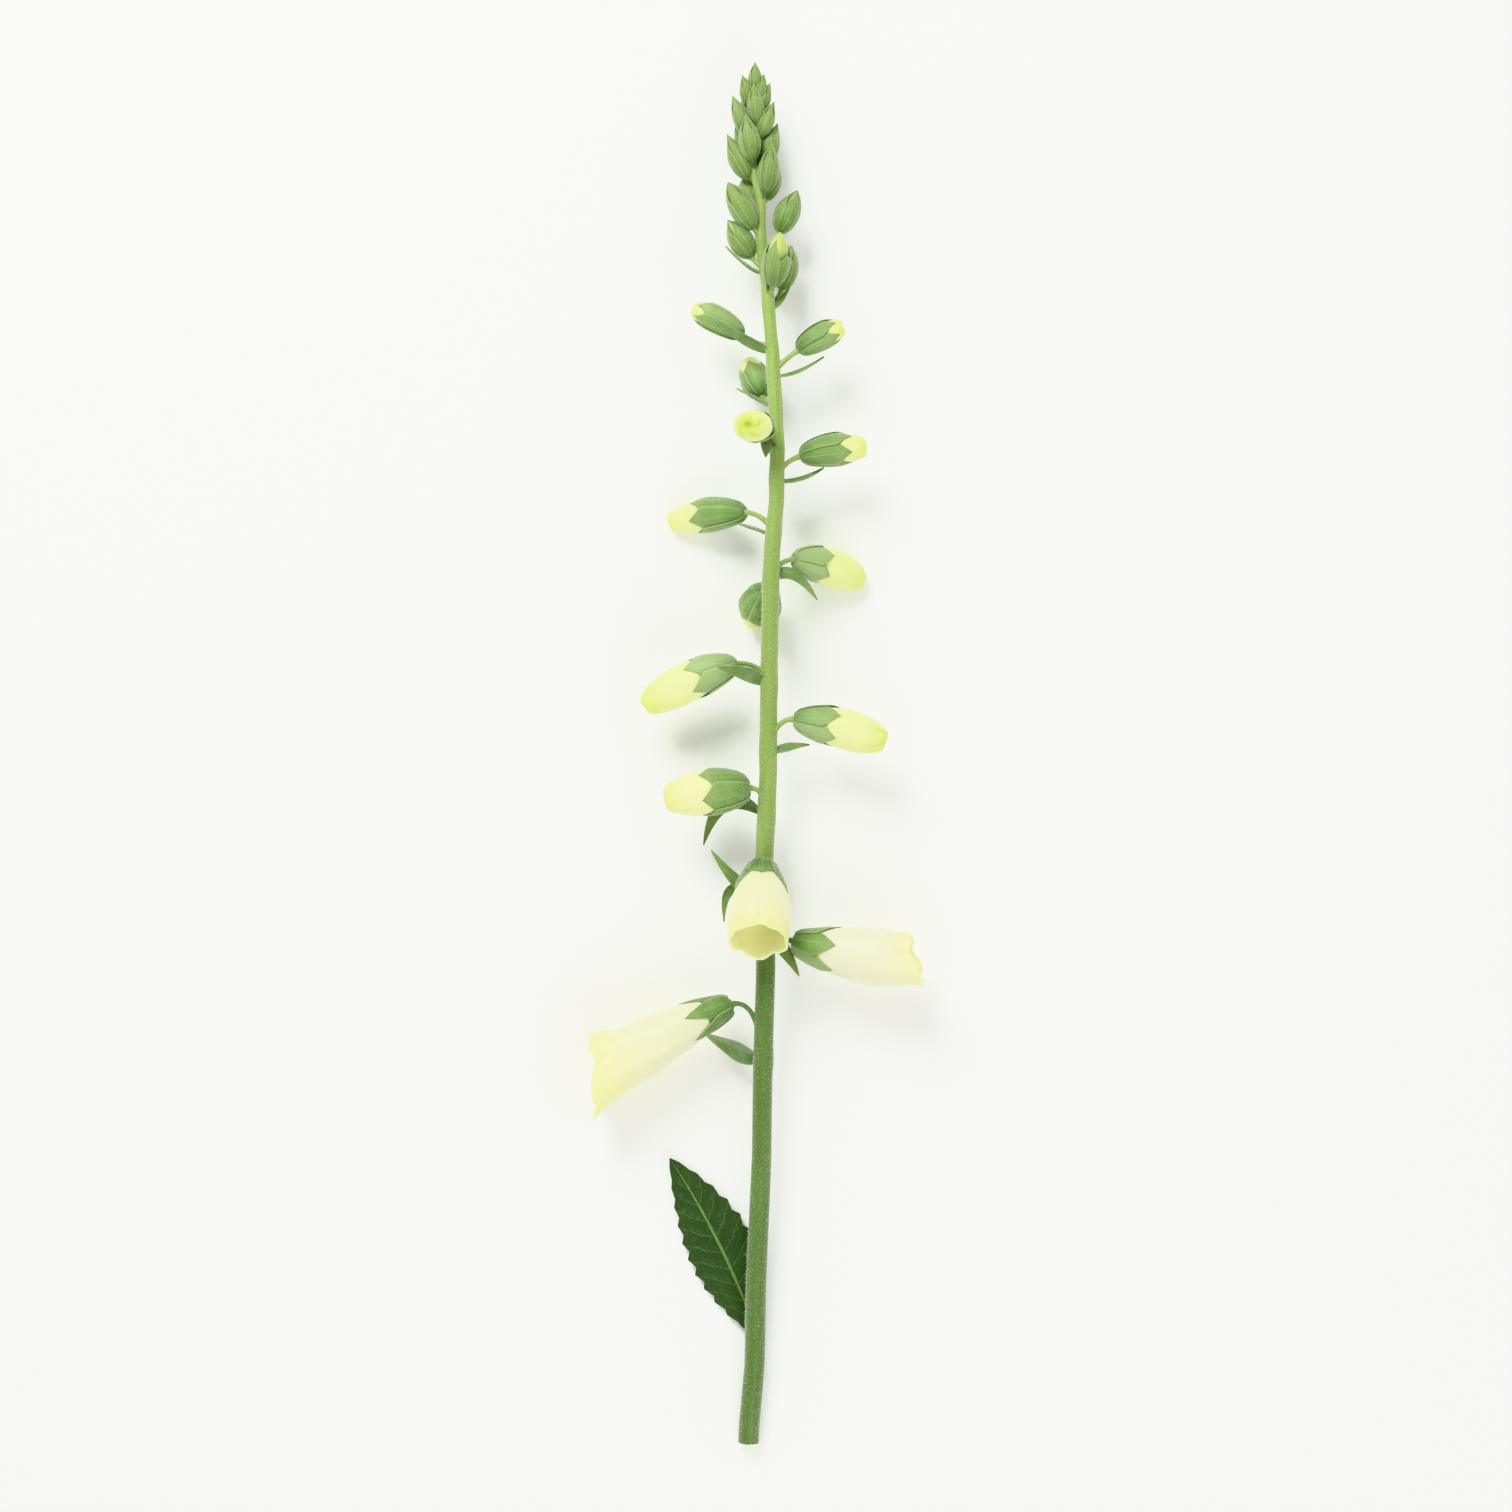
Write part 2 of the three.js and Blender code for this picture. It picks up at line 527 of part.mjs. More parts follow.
// The bare stem, with a ring at each point of its centre line
function stemBar() {
  const rings = STEM_LINE.map(([x, y, radius], row) => {
    const before = STEM_LINE[Math.max(row - 1, 0)];
    const after = STEM_LINE[Math.min(row + 1, STEM_LINE.length - 1)];
    const tangent = stemPoint(after[1]).sub(stemPoint(before[1])).normalize();
    const [u, v] = acrossAxis(tangent, Z_AXIS);
    return Array.from({ length: STEM_SIDES }, (_, i) => {
      const angle = (i / STEM_SIDES) * Math.PI * 2;
      return new THREE.Vector3(x, y, stemHeight(y))
        .addScaledVector(u, Math.cos(angle) * radius)
        .addScaledVector(v, Math.sin(angle) * radius);
    });
  });
  return loft(rings, stemPoint(0), stemPoint(STEM_LINE[STEM_LINE.length - 1][1]));
}

// Buds on the far side of the tip, smaller toward the end
function farBuds() {
  return FAR_BUD_TURNS.map((turn, i) => {
    const share = i / (FAR_BUD_TURNS.length - 1);
    const root = FAR_BUDS_FROM + (FAR_BUDS_TO - FAR_BUDS_FROM) * share;
    const length = FAR_BUD_LENGTH[0] + (FAR_BUD_LENGTH[1] - FAR_BUD_LENGTH[0]) * share;
    const width = FAR_BUD_WIDTH[0] + (FAR_BUD_WIDTH[1] - FAR_BUD_WIDTH[0]) * share;
    const side = THREE.MathUtils.degToRad(turn);
    const middle = stemPoint(root);
    const out = width * 0.42;
    return {
      root, width, lift: -out, rise: -length * 0.3 * Math.cos(side),
      base: [middle.x + out * Math.sin(side), root + 1.5],
      tip: [middle.x + (out + length * 0.45) * Math.sin(side), root + length],
    };
  });
}

// Stem, stalks, bracts, sepals and green buds, which grew as one green body
function greenBody() {
  const flowers = [...OPEN_BELLS, ...CLOSED_FLOWERS];
  const buds = [...GREEN_BUDS, ...farBuds()];
  const pieces = [stemBar(), ...flowers.map(pedicel), ...flowers.map(calyx)];
  pieces.push(...[...flowers, ...buds, ...BARE_BRACTS].filter((flower) => flower.bract).map(bract));
  pieces.push(...buds.map(greenBud));
  pieces.push(...buds.filter((bud) => bud.width > STALKED_BUD_WIDTH).map(pedicel));
  let body = toSolid(pieces[0]);
  for (const piece of pieces.slice(1)) body = body.add(toSolid(piece));
  return body.subtract(underSurface());
}

// Leaf at the foot: a toothed blade whose broad foot passes under the stem
function footLeaf() {
  const foot = new THREE.Vector3(...LEAF.foot, LEAF.footHeight);
  const tip = new THREE.Vector3(...LEAF.tip, LEAF.tipHeight);
  const middle = foot.clone().lerp(tip, 0.5);
  middle.x += 2 * LEAF.bow;
  middle.z = 2 * LEAF.middleHeight - (foot.z + tip.z) / 2;
  const curve = new THREE.QuadraticBezierCurve3(foot, middle, tip);
  const rows = 2 * LEAF.teeth;
  const shares = steps(0, 1, rows);
  const halfWidthAt = (t) => {
    const tooth = Math.round(t * rows) % 2 ? 1 : 1 - LEAF.toothDepth;
    const outline = Math.max(LEAF.footWidth * (1 - t), Math.sin(Math.PI * t ** LEAF.skew) ** LEAF.bluntness);
    return (LEAF.width / 2) * outline * tooth + EDGE_ROOM;
  };
  const direction = tip.clone().sub(foot).normalize();
  const across = new THREE.Vector3().crossVectors(Z_AXIS, direction).normalize();
  return blade(curve, shares, halfWidthAt, { across, fold: LEAF.fold, thickness: BLADE_THICKNESS });
}

// Point inside an open bell: share along it, angle round it and distance from its axis
function insideBell(axis, t, angle, distance) {
  const [u, v] = acrossAxis(axis.getTangent(t), axis.upper);
  return axis.getPoint(t)
    .addScaledVector(u, Math.cos(angle) * distance)
    .addScaledVector(v, Math.sin(angle) * distance);
}

// The stamens of a bell, joined by their ring
function stamens(flower) {
  const axis = flowerAxis(flower);
  const { from, to, inner, outer } = STAMEN_RING;
  const ringAt = (t, radius) => ringRound(axis, axis.upper, 8, () => [t, radius]);
  const disc = loft([ringAt(from, outer), ringAt(to, outer)], axis.getPoint(from), axis.getPoint(to));
  const hole = loft([ringAt(0.1, inner), ringAt(0.24, inner)], axis.getPoint(0.1), axis.getPoint(0.24));
  const clear = PETAL_WALL + STAMEN_ROOM;
  const middle = (inner + outer) / 2;
  let solid = toSolid(disc);
  STAMEN_ANGLES.forEach((degrees, i) => {
    const angle = THREE.MathUtils.degToRad(degrees);
    const points = steps(0.17, STAMEN_ENDS[i], 4).map((t) => {
      const reach = Math.min(bellRadius(flower, t) - clear, middle + STAMEN_LEAN * (t - from));
      return insideBell(axis, t, angle, Math.max(middle, reach));
    });
    const path = new THREE.CatmullRomCurve3(points);
    const shares = STAMEN_OUTLINE.map((row) => row[0]);
    solid = solid.add(toSolid(bar(path, Z_AXIS, 4, shares, (t) => readTable(STAMEN_OUTLINE, t))));
  });
  return solid.subtract(toSolid(hole));
}

// Pistil: a small ovary at the bottom of a bell, with a long style under the upper side
function pistil(flower) {
  const axis = flowerAxis(flower);
  const seat = BELL_FLOOR + SEAT_GAP / axis.span;
  const straightUpTo = 0.3;
  const reach = (t) => {
    const room = bellRadius(flower, t) - PETAL_WALL - PISTIL_ROOM;
    return Math.max(0, Math.min(room, PISTIL_LEAN * (t - straightUpTo)));
  };
  const along = [seat, 0.22, straightUpTo, 0.45, 0.6, 0.72, 0.82];
  const points = along.map((t) => insideBell(axis, t, 0, reach(t)));
  const path = new THREE.CatmullRomCurve3(points);
  const shares = PISTIL_OUTLINE.map((row) => row[0]);
  return toSolid(bar(path, Z_AXIS, 6, shares, (t) => readTable(PISTIL_OUTLINE, t)));
}

function buildSpike() {
  const spike = new THREE.Group();
  spike.position.set(-MIDDLE_X, -MIDDLE_Y, 0);
  spike.add(toMesh(greenBody(), 'stem', greens.stem, 0.55));
  spike.add(toMesh(toSolid(footLeaf()), 'stem_leaf', greens.leaf, 0.6));
  for (const flower of OPEN_BELLS) {
    spike.add(toMesh(toSolid(openPetals(flower)), `petals_${flower.name}`, petalColours.grown, 0.5));
    spike.add(toMesh(stamens(flower), `stamens_${flower.name}`, innerColours.stamens, 0.6));
    spike.add(toMesh(pistil(flower), `pistil_${flower.name}`, innerColours.pistil, 0.5));
  }
  for (const flower of CLOSED_FLOWERS) {
    const petals = toSolid(closedPetals(flower)).subtract(underSurface());
    spike.add(toMesh(petals, `petals_${flower.name}`, petalColours.young, 0.5));
  }
  return spike;
}

export default buildSpike();
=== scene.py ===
"""A foxglove flower spike, cut from its plant and laid down, seen from straight above.

Shapes are worked out in millimetres from the same sizes as the part's solids, and go into metres when
a piece is made. +Y runs to the tip of the spike and +Z faces the viewer.
"""

import math

import bpy
import numpy as np
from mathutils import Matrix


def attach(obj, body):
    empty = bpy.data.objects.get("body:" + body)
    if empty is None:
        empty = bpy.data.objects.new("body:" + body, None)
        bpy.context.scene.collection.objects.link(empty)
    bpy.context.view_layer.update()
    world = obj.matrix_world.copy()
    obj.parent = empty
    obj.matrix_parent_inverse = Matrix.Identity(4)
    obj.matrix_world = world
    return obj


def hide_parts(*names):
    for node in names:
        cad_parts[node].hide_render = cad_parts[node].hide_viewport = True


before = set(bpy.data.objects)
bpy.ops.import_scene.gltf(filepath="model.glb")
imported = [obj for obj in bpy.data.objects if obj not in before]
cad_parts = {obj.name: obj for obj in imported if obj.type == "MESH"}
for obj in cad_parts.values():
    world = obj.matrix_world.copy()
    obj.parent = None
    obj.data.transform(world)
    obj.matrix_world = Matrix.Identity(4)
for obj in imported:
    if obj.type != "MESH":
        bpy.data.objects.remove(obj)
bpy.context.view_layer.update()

# The part's own zero, as a place in the millimetres that follow, which start at the cut end
MIDDLE = np.array([0.7, 197.0, 0.0])

# Stem
SPIKE_LENGTH = 394.5
CUT_END_HEIGHT = 2.9
ARCH_TOP_HEIGHT = 18.7
ARCH_TOP_AT = 275.0
STEM_END = SPIKE_LENGTH - 6
STEM_SIDES, STEM_RIBS, STEM_RIB_DEPTH = 32, 5, 0.02
ROOT_SWELLING, ROOT_SWELLING_REACH = 0.28, 3.5
# Each row is x, height along the spike and radius
STEM_LINE = np.array([
    [-1.5, 0, 3.0], [-1.2, 6, 3.0], [0.3, 22.5, 2.95], [0.75, 46.5, 2.9], [2.3, 82.5, 2.85],
    [2.6, 107.5, 2.8], [3.5, 137.5, 2.75], [3.0, 167.5, 2.65], [4.2, 192.5, 2.55], [4.3, 217.5, 2.5],
    [4.9, 244.5, 2.4], [5.3, 257.5, 2.3], [6.6, 270, 2.2], [6.7, 283, 2.1], [6.0, 302, 1.95],
    [5.1, 313.5, 1.85], [4.3, 326, 1.75], [3.5, 333.5, 1.65], [1.85, 345, 1.5], [2.2, 355.5, 1.35],
    [-0.2, 364.5, 1.2], [0, 380, 0.85], [0.3, STEM_END, 0.5],
])

# Walls and clearances
SEAT_GAP = 0.3
PETAL_WALL = 0.55
BLADE_THICKNESS = 0.5
SEPAL_THICKNESS = 0.45
PEDICEL_RADIUS = 0.85
STALKED_BUD_WIDTH = 5.9

# Sepals: the angle that one laps over the next, where on the axis they start, how far they stand off
# the petals, how high one edge stands over the other, and their ridge
SEPAL_OVERLAP = math.radians(7)
SEPAL_ROOT = 0.015
BELL_SEPAL_STAND, CLOSED_SEPAL_STAND = 0.5, 0.36
FLOWER_SEPAL_LAP, BUD_SEPAL_LAP = 0.24, 0.16
SEPAL_RIDGE, SEPAL_RIDGE_WIDTH = 0.1, 0.2

# Outline of a bell: share of its length, share of its full radius
BELL_OUTLINE = np.array([
    [0, 0.26], [0.06, 0.4], [0.19, 0.57], [0.36, 0.76], [0.54, 0.9], [0.72, 0.98], [0.86, 1], [1, 1],
])
COROLLA_START = 0.07
BELL_FLOOR = 0.13
FREE_GIRTH = 1.03
LOBES = 5
LOBE_REACH = 0.035

# A closed flower's end: how far its petals wind round, and the dimple they leave in the middle
WINDING = 0.7
DIMPLE_DEPTH, DIMPLE_RADIUS = 1.4, 1.7

# Outline of a green bud: skew, bluntness, sharper toward the tip, taper
LARGE_BUD_OUTLINE = (0.92, 0.55, 0.25, 0.08)
SMALL_BUD_OUTLINE = (0.8, 0.7, 0.45, 0.1)

# Stamens: angle from the upper side in degrees and where each ends, the ring that they grow from,
# and the room that they keep from the wall
STAMENS = ((-62, 0.68), (-27, 0.78), (27, 0.78), (62, 0.68))
STAMEN_RING_AT, STAMEN_RING_RADIUS, STAMEN_RING_THICKNESS = 0.17, 2.05, 0.45
STAMEN_ROOM = 2.3
ANTHER_LENGTH, ANTHER_RADIUS = 2.4, 0.72

# Flowers whose petals show, in millimetres, as in the solids. root is the height on the stem where one
# grows, base and tip are the ends of its axis seen from above, lift is the base's height over the stem
# and rise the tip's over the base. nod bows the axis, twist turns the flower round it, flare widens a
# mouth and oblique slants it, and skew or shoulder moves the widest place. sepals and notch are how far
# the sepals reach and where they part, as shares of the axis or of their own length. age runs from 0,
# a young yellow flower, to 1, a grown cream one. shade runs from pale sepals with down, under 0, to
# deep green ones, which are in part painted shade where the flower lies in the plant's shade.
OPEN_BELLS = [
    dict(name="01", root=112, base=(-5.8, 126.6), tip=(-44, 107.2), lift=1.5, rise=1, nod=0.8,
         width=16.4, flare=1.18, oblique=0.26, sepals=0.34, age=0.9, wrinkle=0.32, shade=1.1,
         bract=dict(tip=(-13.8, 117.6), width=8.5, rise=-5, turn=45, bow=0)),
    dict(name="02", root=148.5, base=(10.8, 144.4), tip=(44.8, 139.6), lift=1, rise=4, nod=-1,
         width=17, flare=0.82, oblique=0.13, shoulder=0.95, sepals=0.38, notch=0.5, age=1.0,
         wrinkle=0.12, shade=-0.4,
         bract=dict(tip=(13, 134.5), width=4, rise=4, turn=60, bow=2)),
    dict(name="03", root=160, base=(2.6, 167.3), tip=(1.4, 145.6), lift=5.95, rise=12, nod=0,
         width=18.4, flare=0.87, oblique=0.09, shoulder=0.97, sepals=0.43, notch=0.5, top_sepal=0.3,
         age=0.8, wrinkle=0.05, shade=1.7,
         bract=dict(tip=(-12, 170.3), width=4.2, rise=1, turn=75, bow=-4, out=2)),
]
CLOSED_FLOWERS = [
    dict(name="04", root=181.5, base=(-0.6, 188), tip=(-26, 184.6), lift=3.5, rise=2, nod=0.3,
         width=13.5, twist=36, sepals=0.57, notch=0.72, age=0.72,
         bract=dict(tip=(-14.3, 171.5), width=4.8, rise=-7, turn=70, bow=8, out=-5)),
    dict(name="05", root=199.5, base=(10.9, 207.5), tip=(38.3, 200.4), lift=2, rise=1, nod=1,
         width=12.4, skew=1.25, twist=-18, sepals=0.48, age=0.5, folding=0.7, shade=-0.9,
         bract=dict(tip=(16, 200.2), width=3.5, rise=-1, turn=40, bow=1)),
    dict(name="06", root=219, base=(-4.2, 223.3), tip=(-31.8, 210.6), lift=1, rise=-3, nod=1.4,
         width=12.3, skew=1.25, twist=18, sepals=0.5, age=0.5, shade=-0.8,
         bract=dict(tip=(-10.2, 222.2), width=4.2, rise=8, turn=60, bow=1)),
    dict(name="07", root=243.5, base=(3.3, 244.4), tip=(0.3, 234.8), lift=-3.8, rise=-11, nod=0,
         width=12.2, twist=36, sepals=0.66, notch=0.8, age=0.5,
         bract=dict(tip=(5.5, 230.5), width=3.4, rise=-5.5, turn=30, bow=0)),
    dict(name="08", root=248.5, base=(11.2, 253), tip=(31.5, 246.8), lift=-3.6, rise=-13.2, nod=1.2,
         width=11.7, skew=1.2, twist=-18, sepals=0.44, age=0.3, shade=-1.1,
         bract=dict(tip=(18.2, 241.4), width=3.4, rise=-3, turn=80, bow=4.5)),
    dict(name="09", root=261.2, base=(-1.9, 266.4), tip=(-24.6, 263.8), lift=-4, rise=-13.38, nod=0.8,
         width=10.1, skew=1.2, twist=36, sepals=0.64, notch=0.72, age=0.5,
         bract=dict(tip=(-4.5, 263.2), width=2.6, rise=-4, turn=20, bow=0.5)),
    dict(name="10", root=277, base=(12.8, 282), tip=(33.1, 284.4), lift=0, rise=0.5, nod=0.8,
         width=9.6, skew=1.15, twist=36, sepals=0.75, notch=0.72, age=0.42,
         bract=dict(tip=(20, 279), width=3, rise=-2, turn=25, bow=-1)),
    dict(name="11", root=286.5, base=(2.3, 290), tip=(-1.9, 289.7), lift=5, rise=14.6, nod=0,
         width=11.9, flat=0.2, skew=1.2, sepals=0.52, age=0.4, folding=1,
         bract=dict(tip=(3.4, 281.6), width=5, rise=4, turn=-40, bow=2.9, out=-1.3)),
    dict(name="12", root=297, base=(2.5, 299.3), tip=(-1.8, 310.8), lift=-4.6, rise=-6.5, nod=0,
         width=8.6, sepals=0.78, age=0.55, shade=-0.7,
         bract=dict(tip=(-4.8, 301.7), width=2.4, rise=-5, turn=20, bow=0.5)),
    dict(name="13", root=306.5, base=(12.4, 312), tip=(26.6, 318.9), lift=0.5, rise=1, nod=0.8,
         width=8, twist=-18, sepals=0.83, notch=0.64, age=0.3, shade=-0.4,
         bract=dict(tip=(20, 310.5), width=2.4, rise=-1, turn=20, bow=-1)),
    dict(name="14", root=313.2, base=(-2.9, 316.2), tip=(-18.4, 324.2), lift=0.5, rise=-1, nod=0.8,
         width=7.7, twist=18, sepals=0.86, notch=0.76, age=0.42, shade=-0.8,
         bract=dict(tip=(-11, 320.4), width=3, rise=4.4, turn=60, bow=-0.5)),
]

# Closed green buds, with a bract where one shows
GREEN_BUDS = [
    dict(root=328, base=(5.5, 330), tip=(7.6, 345), lift=3, rise=6, width=7.7, top_sepal=0.35,
         bract=dict(tip=(3.2, 337.5), width=2.2, rise=4.5, turn=70, bow=-0.5)),
    dict(root=325.5, base=(7.9, 329.6), tip=(10.8, 342.4), lift=-3.5, rise=-1, width=6.4,
         bract=dict(tip=(10.4, 330.6), width=2.4, rise=-1, turn=40, bow=-0.5)),
    dict(root=335.5, base=(-0.3, 338.5), tip=(-7.3, 349.3), lift=-0.5, rise=0, width=6.6,
         bract=dict(tip=(-8, 342), width=2, rise=0, turn=15, bow=-1)),
    dict(root=340, base=(7.1, 345.6), tip=(12.5, 357.9), lift=-1, rise=-1, width=6.6),
    dict(root=344.8, base=(0.3, 346.5), tip=(-7.3, 359.8), lift=1, rise=1, width=7.2),
    dict(root=353.5, base=(3.3, 357), tip=(5.4, 370.8), lift=2.2, rise=1.5, width=5.6),
    dict(root=358, base=(-1.2, 361), tip=(-7.6, 373.8), lift=-0.5, rise=0, width=5.8),
    dict(root=362, base=(-0.3, 365.8), tip=(-2.2, 379.2), lift=2.4, rise=1.2, width=5.6),
    dict(root=363, base=(2.6, 365), tip=(6.9, 377), lift=-1, rise=-0.5, width=5),
    dict(root=371, base=(1.3, 372.6), tip=(5.9, 383), lift=0.8, rise=0.5, width=4.4),
    dict(root=372, base=(-1.5, 373.2), tip=(-6, 384.8), lift=0.4, rise=0.3, width=4.4),
    dict(root=375, base=(1.0, 376.2), tip=(0, 388), lift=1.6, rise=0.6, width=4.2),
    dict(root=379, base=(1.1, 380), tip=(4.8, 388.6), lift=-0.4, rise=-0.4, width=3.6),
    dict(root=381, base=(-0.7, 381.5), tip=(-3.2, 390.8), lift=0, rise=0, width=3.6),
    dict(root=383, base=(0.9, 383), tip=(3, 391), lift=0.2, rise=0.2, width=3.2),
    dict(root=386, base=(0.3, 385.5), tip=(0.45, SPIKE_LENGTH), lift=0.2, rise=0, width=3.4),
]

# A bract that has outlived its flower
BARE_BRACTS = [dict(root=157, bract=dict(tip=(-8.5, 149.6), width=3.2, rise=-3, turn=60, bow=6.6, out=-7.5))]

# Buds on the far side of the tip, set by a rule
FAR_BUD_TURNS = np.radians([-30, 26, -6, 34, -36, 12, -18, 22])
FAR_BUDS_FROM, FAR_BUDS_TO = 349, 382
FAR_BUD_LENGTH = (14, 9)
FAR_BUD_WIDTH = (6.6, 4)

# The leaf at the foot
LEAF = dict(foot=(0.7, 31), tip=(-24, 81.5), width=20, teeth=11, tooth_depth=0.14, bow=2,
            foot_height=2.5, middle_height=1.6, tip_height=3.4, fold=0.1, foot_width=0.26)
VEIN_LEAN = 0.13

# Down: hairs, their length and width in millimetres, and the seed that sets them
STEM_DOWN = dict(count=24000, length=0.6, width=0.065, seed=3)
SEPAL_DOWN = dict(count=32000, length=0.48, width=0.055, seed=5)

# Colours, as six hex digits
# Stem: the upper colour is painted light, and the colour near the cut is painted shade.
STEM_COLOURS = dict(lower="7f984a", upper="8ba551", streak="76953d", band="9cb468", painted_shade_near_cut="a5bb9c")
SEPAL_COLOURS = dict(middle="6f9046", foot="4f782a", margin="b4c98e")
BUD_COLOURS = dict(middle="728d42", foot="587a2a", margin="bccb8c")
BRACT_COLOURS = dict(middle="5c7c3c", foot="4a6e2c", margin="a3ba80")
SEPAL_SHADES = dict(deep="436e1d", downy="b3c690", bloom="90a574", tip="9cb266", petal="bccb69")
# Petals: crease is painted shade, and inside is the bell's own yellower cream made paler as painted light.
PETAL_COLOURS = dict(young="d6e584", grown="f2efc2", deep="c4d048", foot="cfdc7a", pale="ecebb0",
                     crease="a9b636", inside="fbf8b8")
# The leaf's greens are darkened past its own deep green, as painted shade.
LEAF_COLOURS = dict(dark="1c350a", light="304f15", net="41702b", vein="769d4e", under="7f9c66")
FLOOR_COLOUR = "fafaf8"

# Studio, in metres: name, place, size and power of each lamp, and the camera straight above
LAMPS = (("key_lamp", (-0.45, 0.95, 1.1), 0.7, 22), ("fill_lamp", (0.35, -0.95, 1.0), 1.0, 10))
SKY_STRENGTH = 0.64
FLOOR_HALF = 3
CAMERA_HEIGHT, CAMERA_LENS, CAMERA_SENSOR = 1.45, 120, 36

Y_AXIS = np.array([0, 1.0, 0])
Z_AXIS = np.array([0, 0, 1.0])
random = np.random.default_rng(17)


# Reading curves

def unit(vectors):
    """Each vector divided by its length."""
    return vectors / np.linalg.norm(vectors, axis=-1, keepdims=True)


def smoothstep(value, low, high):
    """3s^2 - 2s^3 of s, the value's share from low to high, kept in 0 to 1."""
    s = np.clip((value - low) / (high - low), 0, 1)
    return s * s * (3 - 2 * s)


def smooth_table(keys, values, at, width):
    """Linear reading of a table, averaged over a window of that width with triangular weights."""
    offsets = np.linspace(-1, 1, 9)
    weights = 1 - 0.9 * np.abs(offsets)
    read = np.interp(np.asarray(at)[..., None] + offsets * width, keys, values)
    return (read * weights).sum(-1) / weights.sum()


def bezier(controls, t):
    """Point (1-t)^2 A + 2t(1-t) B + t^2 C and its direction. Past 1 the curve runs on straight."""
    a, b, c = controls
    t = np.asarray(t, float)[..., None]
    s = np.minimum(t, 1)
    direction = unit((1 - s) * (b - a) + s * (c - b))
    point = (1 - s) ** 2 * a + 2 * s * (1 - s) * b + s**2 * c
    return point + (t - s) * np.linalg.norm(c - a) * direction, direction


def across(direction, reference):
    """Two unit directions across a direction: the one nearest to the reference, and their cross."""
    first = unit(reference - (direction * reference).sum(-1, keepdims=True) * direction)
    return first, np.cross(direction, first)


def around(controls, reference, t, angle, radius):
    """Curve point at t plus radius * (cos(angle) * first + sin(angle) * second) across it."""
    point, direction = bezier(controls, t)
    first, second = across(direction, reference)
    turn = np.asarray(angle)[..., None]
    return point + np.asarray(radius)[..., None] * (np.cos(turn) * first + np.sin(turn) * second)


def ring_angles(count):
    """Angles evenly round one turn."""
    return np.arange(count) / count * 2 * np.pi


def ring_shares(count):
    """u from 0 to 1 at each column round a ring and where the first one is met again."""
    return np.arange(count + 1) / count


def grid(shares, angles):
    """Shares down the rows and angles across the columns."""
    return np.meshgrid(shares, angles, indexing="ij")


def spokes(first, second, angle):
    """cos(angle) * first + sin(angle) * second, for each pair of directions and each angle."""
    return np.cos(angle)[:, None] * first[..., None, :] + np.sin(angle)[:, None] * second[..., None, :]


def flatness(flower, angle):
    """1 - flat cos^2(angle): how far a flower is pressed flat between its upper and lower side."""
    return 1 - flower.get("flat", 0) * np.cos(angle) ** 2


def stem_height(y):
    """Parabola: the arch's top height less the drop times the squared distance from the top."""
    return ARCH_TOP_HEIGHT - (ARCH_TOP_HEIGHT - CUT_END_HEIGHT) * ((y - ARCH_TOP_AT) / ARCH_TOP_AT) ** 2


def stem_point(y):
    """Centre of the stem at a height along the spike, its kinks rounded over 3 mm."""
    y = np.asarray(y, float)
    x = smooth_table(STEM_LINE[:, 1], STEM_LINE[:, 0], y, 3.0)
    return np.stack([x, y, stem_height(y)], -1)


def flower_base(flower):
    """Where a flower's axis starts."""
    return np.array([*flower["base"], stem_height(flower["root"]) + flower["lift"]])


def flower_curve(flower):
    """Quadratic curve from a flower's base to its tip, bowed by its nod, and its upper direction,
    turned by its twist about the line from base to tip."""
    base = flower_base(flower)
    tip = np.array([*flower["tip"], base[2] + flower["rise"]])
    middle = (base + tip) / 2 + 2 * flower.get("nod", 0) * Y_AXIS
    heading = unit(tip - base)
    first, second = across(heading, Y_AXIS if abs(heading[1]) < 0.8 else Z_AXIS)
    twist = math.radians(flower.get("twist", 0))
    return np.stack([base, middle, tip]), math.cos(twist) * first + math.sin(twist) * second


def bud_radius(flower, t):
    """Radius sin(pi t^skew)^0.34 of the full one. A larger skew moves the widest place to the tip."""
    t = np.clip(t, 0, 1) ** flower.get("skew", 1.06)
    return (flower["width"] / 2 - SEAT_GAP) * np.sin(np.pi * t).clip(0) ** 0.34


def bell_radius(flower, t):
    """Smoothed outline table read at t^shoulder, with the mouth widened or drawn in by its flare."""
    t = np.minimum(t, 1)
    outline = smooth_table(BELL_OUTLINE[:, 0], BELL_OUTLINE[:, 1], t ** flower.get("shoulder", 1), 0.05)
    return flower["width"] / 2 * (outline + smoothstep(t, 0.7, 1) * (flower["flare"] - 1))


def flower_radius(flower, t):
    """Outline of an open bell or of a closed flower."""
    return bell_radius(flower, t) if "flare" in flower else bud_radius(flower, t)


def green_bud_radius(bud, t):
    """Radius sin(pi t^a)^(b + c t) (1 - d t) of the full one: small buds are drops drawn out to a
    point, and large ones are fuller."""
    large = bud["width"] > STALKED_BUD_WIDTH
    skew, blunt, sharper, taper = LARGE_BUD_OUTLINE if large else SMALL_BUD_OUTLINE
    t = np.clip(t, 0, 1)
    return bud["width"] / 2 * np.sin(np.pi * t**skew).clip(0) ** (blunt + sharper * t) * (1 - taper * t)


# Surfaces: each is a dict of points, quads, triangles, their corner UVs and values at the points

